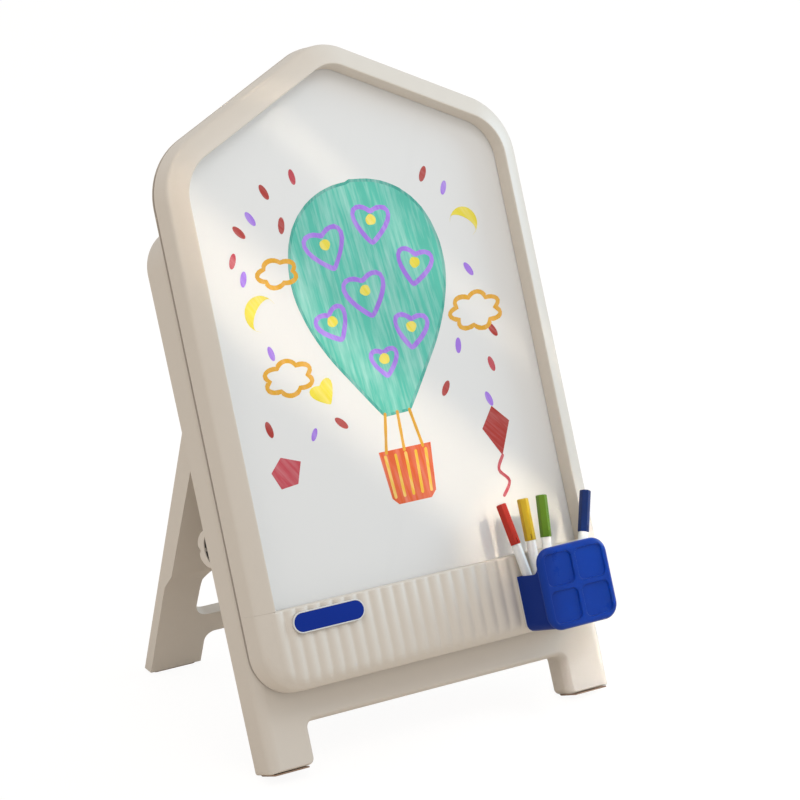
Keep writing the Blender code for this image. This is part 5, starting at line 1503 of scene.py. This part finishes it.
class DRAWINGBOARD_OT_markers(bpy.types.Operator):
    """Make the four markers: end plug, barrel, nib and six-sided cap"""

    bl_idname = "drawing_board.markers"
    bl_label = "Markers"

    def execute(self, context):
        sizes = context.scene.drawing_board_box
        for name in MARKER_PLACE_SHARES:
            place = marker_place(sizes, name)
            self.make_barrel(sizes, name, place)
            self.make_cap(sizes, name, place)
            shade = getattr(context.scene.drawing_board_finishes, name)
            repaint(f"marker_{name}_nib", felt(f"{name}_felt", shade))
        return {"FINISHED"}

    def turned(self, name, profile, place):
        """Make a turned piece from radii and heights."""
        piece = add(name, lathe(profile, 48), place)
        crease(piece, 35)
        return piece

    def make_barrel(self, sizes, name, place):
        """Make the plug and the barrel."""
        radius = sizes.barrel
        edge = MARKER_EDGE
        plug = [(radius - 2.2 * edge, 0.0), (radius - 1.4 * edge, 0.2 * edge), (radius - edge, edge)]
        plug += [(radius - edge, PLUG_FOOT), (PLUG_STEM, PLUG_FOOT), (PLUG_STEM, PLUG_TOP)]
        piece = self.turned(f"marker_{name}_end", plug, place)
        dress(piece, f"marker_{name}", finish("white"), [f"marker_{name}_plug"])
        shoulder = sizes.marker - sizes.cap - GAP
        neck = shoulder + GAP + NECK_HEIGHT
        low = BARREL_FOOT
        body = [(BARREL_BORE, BARREL_CEILING), (BARREL_BORE, low), (radius - edge, low)]
        body += [(radius - 0.3 * edge, low + 0.3 * edge), (radius, low + edge)]
        body += [(radius, shoulder - edge), (radius - 0.3 * edge, shoulder - 0.3 * edge)]
        body += [(radius - edge, shoulder), (NECK_RADIUS, shoulder), (NECK_RADIUS, neck)]
        body += [(NIB_BORE, neck), (NIB_BORE, neck - NIB_DEPTH)]
        piece = self.turned(f"marker_{name}_tube", body, place)
        dress(piece, f"marker_{name}", finish("white"), [f"marker_{name}_barrel"])

    def make_cap(self, sizes, name, place):
        """Make the cap: a bored hexagon with soft corners, a crown and a short slit at its rim."""
        turn, slit_angle = CAP_TURNS[name]
        shoulder = Matrix.Translation((0, 0, sizes.marker - sizes.cap))
        seat = place @ shoulder @ Matrix.Rotation(turn, 4, "Z")
        corners = circle(sizes.flats / math.sqrt(3), 6)

        def outside(inset, height):
            return level(rounded(corners, (CAP_CORNER,) * 6, (inset,) * 6, (6,) * 6), height)

        bore = [CAP_BORE * p.to_2d().normalized() for p in outside(0, 0)]
        rings = [level(bore, CAP_BORE_DEPTH), level(bore, 0.0), outside(CAP_EDGE, 0.0)]
        rings += [outside(0.3 * CAP_EDGE, 0.3 * CAP_EDGE), outside(0, CAP_EDGE)]
        rings += [outside(CAP_CROWN * side, sizes.cap - CAP_CROWN * fall) for side, fall in quarter(8)]
        piece = add(f"marker_{name}_cap_moulding", skin(rings), seat)
        slit_shade = box_outline(*SLIT_SIDES, SLIT_CORNER, 3)
        angle = math.radians(slit_angle) - turn + math.pi / 2
        aim = seat @ Matrix.Rotation(angle, 4, "Z") @ turn_x(math.pi / 2)
        cut(piece, [add("slit_tool", prism(slit_shade, *SLIT_CUT), aim)])
        crease(piece, 35)
        body = f"cap_{name}"
        # A dark piece in the cap's colour at a quarter of its brightness lies in the slit: painted shade at
        # the slit's floor
        shade = [part * 0.25 for part in getattr(bpy.context.scene.drawing_board_finishes, name)]
        slit_shade_piece = add(f"marker_{name}_slit", prism(slit_shade, *SLIT_SHADE_LEVELS), aim)
        dress(slit_shade_piece, body, gloss_plastic(f"slit_{name}_plastic", shade, 0.5, 0.04, 0.1))
        dress(piece, body, finish(name), [f"marker_{name}_cap"])


# Drawing on the sheet, in millimetres along the board


# Level of the ink's underside, just above the sheet, and the thickness of one layer
INK_LEVEL = 21.52
INK_LAYER = 0.03

# How far a stroke's width wavers, and where its round ends have points
STROKE_WOBBLE = 0.07
STROKE_END_SHARES = (0.5, 0.8, 0.97)


class Film:
    """A thin film of ink on the writing sheet, made of strokes and filled shapes."""

    def __init__(self, layer):
        self.bm = bmesh.new()
        self.low = INK_LEVEL * MM
        self.high = (INK_LEVEL + INK_LAYER * (layer + 1)) * MM

    def prism(self, outline):
        """Add a filled shape."""
        prism([(p[0] * MM, p[1] * MM) for p in outline], self.low, self.high, self.bm)

    def stroke(self, points, width, closed=False):
        """Add a pen stroke along points, with round ends unless it closes on itself."""
        path = [Vector((p[0], p[1])) for p in points]
        sections = []
        count = len(path)
        for i, point in enumerate(path):
            back = path[i - 1] if closed or i else path[i]
            ahead = path[(i + 1) % count] if closed or i < count - 1 else path[i]
            along = (ahead - back).normalized()
            wobble = 1 + STROKE_WOBBLE * math.sin(i * 1.7 + point.x * 0.3)
            sections.append((point, Vector((-along.y, along.x)), width / 2 * wobble))
        if not closed:
            for end, sign in ((0, -1), (-1, 1)):
                point, normal, half = sections[end]
                along = Vector((normal.y, -normal.x)) * sign
                for share in STROKE_END_SHARES:
                    spare = (point + along * half * share, normal, half * math.sqrt(1 - share * share))
                    if sign < 0:
                        sections.insert(0, spare)
                    else:
                        sections.append(spare)
        corners = ((-1, self.low), (1, self.low), (1, self.high), (-1, self.high))
        rings = []
        for point, normal, half in sections:
            sides = [((point + normal * half * side) * MM, height) for side, height in corners]
            rings.append([Vector((place.x, place.y, height)) for place, height in sides])
        skin(rings, closed, self.bm)

    def finish(self, name, look):
        """Make the film a piece."""
        piece = add(name, self.bm, BOARD_PLANE)
        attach(piece, "stand")
        piece.data.materials.append(look)


def placed(points, u, v, size, turn):
    """Return points turned, scaled and moved to a place."""
    swing = Matrix.Rotation(turn, 2)
    return [(u + size * p.x, v + size * p.y) for p in (swing @ Vector(point) for point in points)]


def heart(u, v, size, turn):
    """Return the outline of a heart."""
    points = []
    for a in turns(28):
        side = 0.30 * math.sin(a) + 0.68 * math.sin(a) ** 3
        points.append((side, 0.84 * math.cos(a) - 0.30 * math.cos(2 * a) - 0.08 * math.cos(3 * a)))
    return placed(points, u, v, size, turn)


def drop(u, v, size, turn):
    """Return the outline of a short fat dash."""
    return placed([(0.42 * math.cos(a), math.sin(a)) for a in turns(16)], u, v, size, turn)


def blob(u, v, wide, tall):
    """Return a hand-drawn disc."""
    result = []
    for a in turns(24):
        swell = 1 + 0.04 * math.sin(3 * a + u) + 0.024 * math.cos(5 * a + v)
        result.append((u + wide * swell * math.cos(a), v + tall * swell * math.sin(a)))
    return result


def cloud(u, v, size, bumps):
    """Return a closed scalloped line."""
    result = []
    for a in turns(bumps * 8):
        swell = 0.82 + 0.26 * abs(math.sin(bumps * a / 2))
        result.append((u + size * swell * math.cos(a), v + size * 0.62 * swell * math.sin(a)))
    return result


def moon(u, v, size, turn):
    """Return the outline of a crescent."""
    angles = [math.pi * (k / 16 * 1.3 - 0.15) for k in range(17)]
    points = [(math.cos(a), math.sin(a)) for a in angles]
    points += [(0.98 * math.cos(a), 0.45 * math.sin(a) - 0.132) for a in reversed(angles[1:-1])]
    return placed(points, u, v, size, turn)


def balloon_outline():
    """Return the balloon's envelope as a closed outline."""
    half = [(0, 583), (30, 579), (58, 566), (80, 543), (92, 512), (94, 478), (85, 442)]
    half += [(68, 408), (47, 378), (28, 352), (16, 336)]
    right = through([Vector(p) for p in half], 4)
    left = [Vector((-p.x * 0.985, p.y - 1.5)) for p in reversed(right[1:])]
    return [(p.x + 6, p.y) for p in list(right) + left]


# Each ink: its material, its colour, how thin it lies, the turn of its strokes, and its layer
INKS = {
    "ink_teal_fill": ("teal_ink", (0.085, 0.50, 0.38), 0.5, 0.08, 0),
    "ink_teal_edge": ("deep_teal_ink", (0.045, 0.36, 0.28), 0.5, 0.0, 1),
    "ink_lilac": ("lilac_ink", (0.36, 0.17, 0.72), 0.3, 0.3, 2),
    "ink_yellow": ("yellow_ink", (0.80, 0.66, 0.035), 0.35, 0.5, 3),
    "ink_gold": ("gold_ink", (0.72, 0.36, 0.012), 0.15, 0.2, 2),
    "ink_orange": ("orange_ink", (0.70, 0.10, 0.015), 0.25, 0.1, 1),
    "ink_basket_bars": ("bar_yellow_ink", (0.82, 0.50, 0.03), 0.4, 0.4, 2),
    "ink_red": ("red_ink", (0.40, 0.022, 0.012), 0.2, 0.7, 1),
    "ink_rose": ("rose_ink", (0.52, 0.05, 0.07), 0.25, 0.6, 1),
}

# Hearts and dashes by place, size and turn
LILAC_HEARTS = (
    (-38, 520, 24, 0.2),
    (22, 538, 22, -0.15),
    (64, 486, 21, -0.3),
    (-2, 466, 25, 0.1),
    (-48, 440, 19, 0.35),
    (44, 420, 20, -0.2),
    (4, 392, 16, 0.0),
)
LILAC_DROPS = (
    (-118, 560, 8.8, 0.5),
    (118, 560, 8.0, -0.4),
    (-126, 420, 8.0, 0.2),
    (-96, 330, 7.2, -0.5),
    (128, 470, 8.5, 0.5),
    (96, 392, 8.5, -0.2),
    (-140, 500, 8.5, -0.3),
    (120, 330, 8.5, 0.3),
)
RED_DROPS = (
    (-96, 585, 9.0, 0.4),
    (-134, 548, 9.0, 0.7),
    (-84, 548, 9.0, -0.2),
    (96, 578, 9.0, -0.5),
    (142, 402, 9.0, 0.5),
    (-62, 336, 9.0, 0.8),
    (70, 350, 9.0, -0.6),
    (-146, 344, 9.0, 0.2),
)
ROSE_DROPS = ((-60, 596, 8.5, 0.1), (-148, 520, 8.5, -0.4), (132, 366, 8.5, 0.2))

# Clouds by place, size and count of bumps
CLOUDS = ((-112, 392, 27, 6), (126, 425, 30, 7), (-100, 500, 22, 5))


class DRAWINGBOARD_OT_drawing(bpy.types.Operator):
    """Draw a generic balloon picture in marker ink on the writing sheet"""

    bl_idname = "drawing_board.drawing"
    bl_label = "Drawing"

    def execute(self, context):
        films = {name: Film(values[-1]) for name, values in INKS.items()}
        envelope = balloon_outline()
        films["ink_teal_fill"].prism(envelope)
        edge = [(p[0] * 0.985 + 0.1, p[1]) for p in envelope]
        films["ink_teal_edge"].stroke(edge, 3.2, closed=True)
        for u, v, size, turn in LILAC_HEARTS:
            films["ink_lilac"].stroke(heart(u, v, size, turn), 5.2, closed=True)
            films["ink_yellow"].prism(blob(u, v + 1, 6.2, 5.8))
        for name, drops in (("lilac", LILAC_DROPS), ("red", RED_DROPS), ("rose", ROSE_DROPS)):
            for place in drops:
                films[f"ink_{name}"].prism(drop(*place))
        films["ink_yellow"].prism(moon(-128, 462, 19, 0.9))
        films["ink_yellow"].prism(moon(134, 520, 17, -0.6))
        films["ink_yellow"].prism(heart(-76, 372, 15, 0.4))
        for place in CLOUDS:
            films["ink_gold"].stroke(cloud(*place), 5.0, closed=True)
        for high, low in ((-9, -17), (6, 5), (21, 28)):
            rope = ((high, 336), ((high + low) / 2, 316), (low, 296))
            films["ink_gold"].stroke(through([Vector(p) for p in rope], 4), 3.4)
        films["ink_orange"].prism([(-26, 298), (38, 298), (33, 248), (26, 241), (-14, 241), (-21, 248)])
        for k in range(5):
            films["ink_basket_bars"].stroke([(-19 + 12.4 * k, 292), (-16.5 + 11 * k, 249)], 3.4)
        films["ink_red"].prism([(104, 300), (121, 322), (139, 303), (122, 268)])
        films["ink_rose"].prism([(-154, 300), (-140, 314), (-118, 306), (-126, 284), (-146, 282)])
        tail = through([Vector(p) for p in ((122, 268), (114, 254), (124, 240), (114, 226))], 5)
        films["ink_rose"].stroke(tail, 3.6)
        for name, (label, shade, thin, turn, _) in INKS.items():
            films[name].finish(name, marker_ink(label, shade, thin, turn))
        return {"FINISHED"}


# Stage


# Colours of the lamps, the sides that the beams come from, along the board, and the level they aim at
WARM_SIDE = (1.0, 0.88, 0.74)
COOL_SIDE = (0.61, 0.82, 1.0)
BEAM_LIGHT = (1.0, 0.87, 0.66)
BEAM_SIDE = Vector((0.45, 0.52, 0.73))
FOOT_LIGHT = (0.97, 0.98, 1.0)
FOOT_SIDE = Vector((-0.17, 0.41, 0.895))
BEAM_SPREAD = math.radians(3.8)
BEAM_LEVEL = 21.5

# The floor's colour, its glow to the camera and the share of it, the sky's colour, and the camera
FLOOR_SHADE = (0.84, 0.75, 0.66)
FLOOR_GLOW = 1.08
FLOOR_GLOW_SHARE = 0.85
FLOOR_HALF = 12.0
SKY_SHADE = (0.97, 0.985, 1.0, 1)
CAMERA_PLACE = (-1.568, -2.486869, 1.440907)
CAMERA_TURNS = (69.4942, -0.9907, -32.1194)

# Each soft lamp: its place and size in metres and its colour
SOFTBOXES = {
    "left_softbox": ((-1.1, -0.2, 1.35), 0.7, WARM_SIDE),
    "right_softbox": ((2.95, -0.5, 1.5), 1.4, COOL_SIDE),
    "front_softbox": ((0.1, -0.9, 2.2), 0.8, (1, 1, 1)),
}

# Each beam: the middle of its band in millimetres along the board, the band's direction, its length,
# width and distance in metres, its colour and its side
BEAMS = {
    "wide_beam": ((-10, 340), (0.68, -0.74), (0.95, 0.066, 0.88), BEAM_LIGHT, BEAM_SIDE),
    "slim_beam": ((10, 570), (0.65, -0.76), (0.95, 0.023, 0.52), BEAM_LIGHT, BEAM_SIDE),
    "cap_beam": ((128, 166), (0.68, -0.74), (0.14, 0.095, 0.60), BEAM_LIGHT, BEAM_SIDE),
    "foot_beam": ((187, 62), (0.0, 1.0), (0.18, 0.120, 0.60), FOOT_LIGHT, FOOT_SIDE),
}


class DRAWINGBOARD_OT_stage(bpy.types.Operator):
    """Set the floor, the studio light and the camera"""

    bl_idname = "drawing_board.stage"
    bl_label = "Stage"

    def execute(self, context):
        settings = context.scene.drawing_board_stage
        context.scene.view_settings.view_transform = "Standard"
        self.make_floor()
        self.make_world(settings)
        middle = BOARD_PLANE @ Vector((0.0, 0.35, 0.02))
        for name, (place, size, shade) in SOFTBOXES.items():
            self.make_softbox(name, Vector(place), middle, size, getattr(settings, name), shade)
        for name, values in BEAMS.items():
            self.make_beam(name, getattr(settings, name), *values)
        self.make_camera(settings)
        return {"FINISHED"}

    def make_floor(self):
        """Make the pale floor, nearly white to the camera but for the object's shadow."""
        bm = bmesh.new()
        bmesh.ops.create_grid(bm, x_segments=8, y_segments=8, size=FLOOR_HALF)
        floor = add("floor", bm)
        look = Look("pale_floor")
        cloudy = look.noise(3, 3.0)
        base = look.scaled(FLOOR_SHADE, 0.98 + 0.04 * cloudy)
        paint = look.node("ShaderNodeBsdfPrincipled", None, {"Base Color": base, "Roughness": 0.8})
        glow = look.node("ShaderNodeEmission", None, {"Color": (1, 1, 1, 1), "Strength": FLOOR_GLOW})
        seen = look.node("ShaderNodeLightPath", output="Is Camera Ray")
        look.end(look.node("ShaderNodeMixShader", None, {0: FLOOR_GLOW_SHARE * seen, 1: paint, 2: glow}))
        floor.data.materials.append(look.material)

    def make_world(self, settings):
        """Light the scene evenly, and show white behind the object."""
        world = bpy.data.worlds.new("studio")
        look = Look("studio", world)
        kinds = ("Camera", "Transmission", "Glossy")
        seen = [look.node("ShaderNodeLightPath", output=f"Is {kind} Ray") for kind in kinds]
        sockets = {"Color": SKY_SHADE, "Strength": settings.world}
        dim = look.node("ShaderNodeBackground", None, sockets)
        bright = look.node("ShaderNodeBackground", None, {"Strength": 1.0})
        mixed = {0: seen[0] + seen[1] + seen[2], 1: dim, 2: bright}
        look.end(look.node("ShaderNodeMixShader", None, mixed), "ShaderNodeOutputWorld")
        bpy.context.scene.world = world

    def make_lamp(self, name, shade, size, power):
        """Make a lamp that the camera does not see."""
        lamp = bpy.data.lights.new(name, "AREA")
        lamp.shape = "RECTANGLE"
        lamp.size, lamp.size_y = size
        lamp.energy = power
        lamp.color = shade
        item = bpy.data.objects.new(name, lamp)
        bpy.context.scene.collection.objects.link(item)
        item.visible_camera = False
        return item

    def make_softbox(self, name, place, target, size, power, shade):
        """Make a large soft lamp, turned to a target."""
        item = self.make_lamp(name, shade, (size, size), power)
        item.location = place
        item.rotation_mode = "QUATERNION"
        item.rotation_quaternion = (target - place).to_track_quat("-Z", "Y")

    def make_beam(self, name, light, centre, along, reach, shade, side):
        """Make a beam of late light that falls on the sheet as a soft band."""
        long, wide, distance = reach
        item = self.make_lamp(name, shade, (long, wide), light * long * wide)
        item.data.spread = BEAM_SPREAD
        towards = side.normalized()
        axis = Vector((along[0], along[1], 0))
        first = (axis - towards * axis.dot(towards)).normalized()
        turned = Matrix((first, towards.cross(first), towards)).transposed().to_4x4()
        target = Vector((centre[0] * MM, centre[1] * MM, BEAM_LEVEL * MM))
        item.matrix_world = BOARD_PLANE @ Matrix.Translation(target + towards * distance) @ turned
        item.visible_glossy = False

    def make_camera(self, settings):
        """Make the camera at the photograph's viewpoint."""
        data = bpy.data.cameras.new("camera")
        data.lens = settings.lens
        data.sensor_width = 36.0
        data.clip_end = 100.0
        camera = bpy.data.objects.new("camera", data)
        bpy.context.scene.collection.objects.link(camera)
        camera.location = CAMERA_PLACE
        camera.rotation_euler = [math.radians(angle) for angle in CAMERA_TURNS]
        bpy.context.scene.camera = camera


OPERATORS = (
    DRAWINGBOARD_OT_frame,
    DRAWINGBOARD_OT_apron,
    DRAWINGBOARD_OT_badge,
    DRAWINGBOARD_OT_panels,
    DRAWINGBOARD_OT_stand,
    DRAWINGBOARD_OT_screws,
    DRAWINGBOARD_OT_knob,
    DRAWINGBOARD_OT_rear_leg,
    DRAWINGBOARD_OT_pen_box,
    DRAWINGBOARD_OT_markers,
    DRAWINGBOARD_OT_drawing,
    DRAWINGBOARD_OT_stage,
)


class DRAWINGBOARD_PT_panel(bpy.types.Panel):
    """Sidebar panel with the sizes, the colours and the pieces"""

    bl_idname = "DRAWINGBOARD_PT_panel"
    bl_label = "Drawing board"
    bl_space_type = "VIEW_3D"
    bl_region_type = "UI"
    bl_category = "Drawing board"

    def draw(self, context):
        for name, group in GROUPS.items():
            box = self.layout.box()
            box.label(text=group.__doc__)
            for key in group.__annotations__:
                box.prop(getattr(context.scene, name), key)
        for operator in OPERATORS:
            self.layout.operator(operator.bl_idname)


def register():
    """Register the classes and hang the properties on the scene."""
    for item in (*GROUPS.values(), *OPERATORS, DRAWINGBOARD_PT_panel):
        bpy.utils.register_class(item)
    for name, group in GROUPS.items():
        setattr(bpy.types.Scene, name, PointerProperty(type=group))


def unregister():
    """Take the properties and classes away again."""
    for name in GROUPS:
        delattr(bpy.types.Scene, name)
    for item in reversed((*GROUPS.values(), *OPERATORS, DRAWINGBOARD_PT_panel)):
        bpy.utils.unregister_class(item)


def main():
    """Make every piece and the stage."""
    register()
    bpy.ops.drawing_board.frame_moulding()
    bpy.ops.drawing_board.fluted_apron()
    bpy.ops.drawing_board.badge()
    bpy.ops.drawing_board.panels()
    bpy.ops.drawing_board.front_stand()
    bpy.ops.drawing_board.board_screws()
    bpy.ops.drawing_board.wing_knob()
    bpy.ops.drawing_board.rear_leg()
    bpy.ops.drawing_board.pen_box()
    bpy.ops.drawing_board.markers()
    bpy.ops.drawing_board.drawing()
    bpy.ops.drawing_board.stage()


if __name__ == "__main__":
    main()
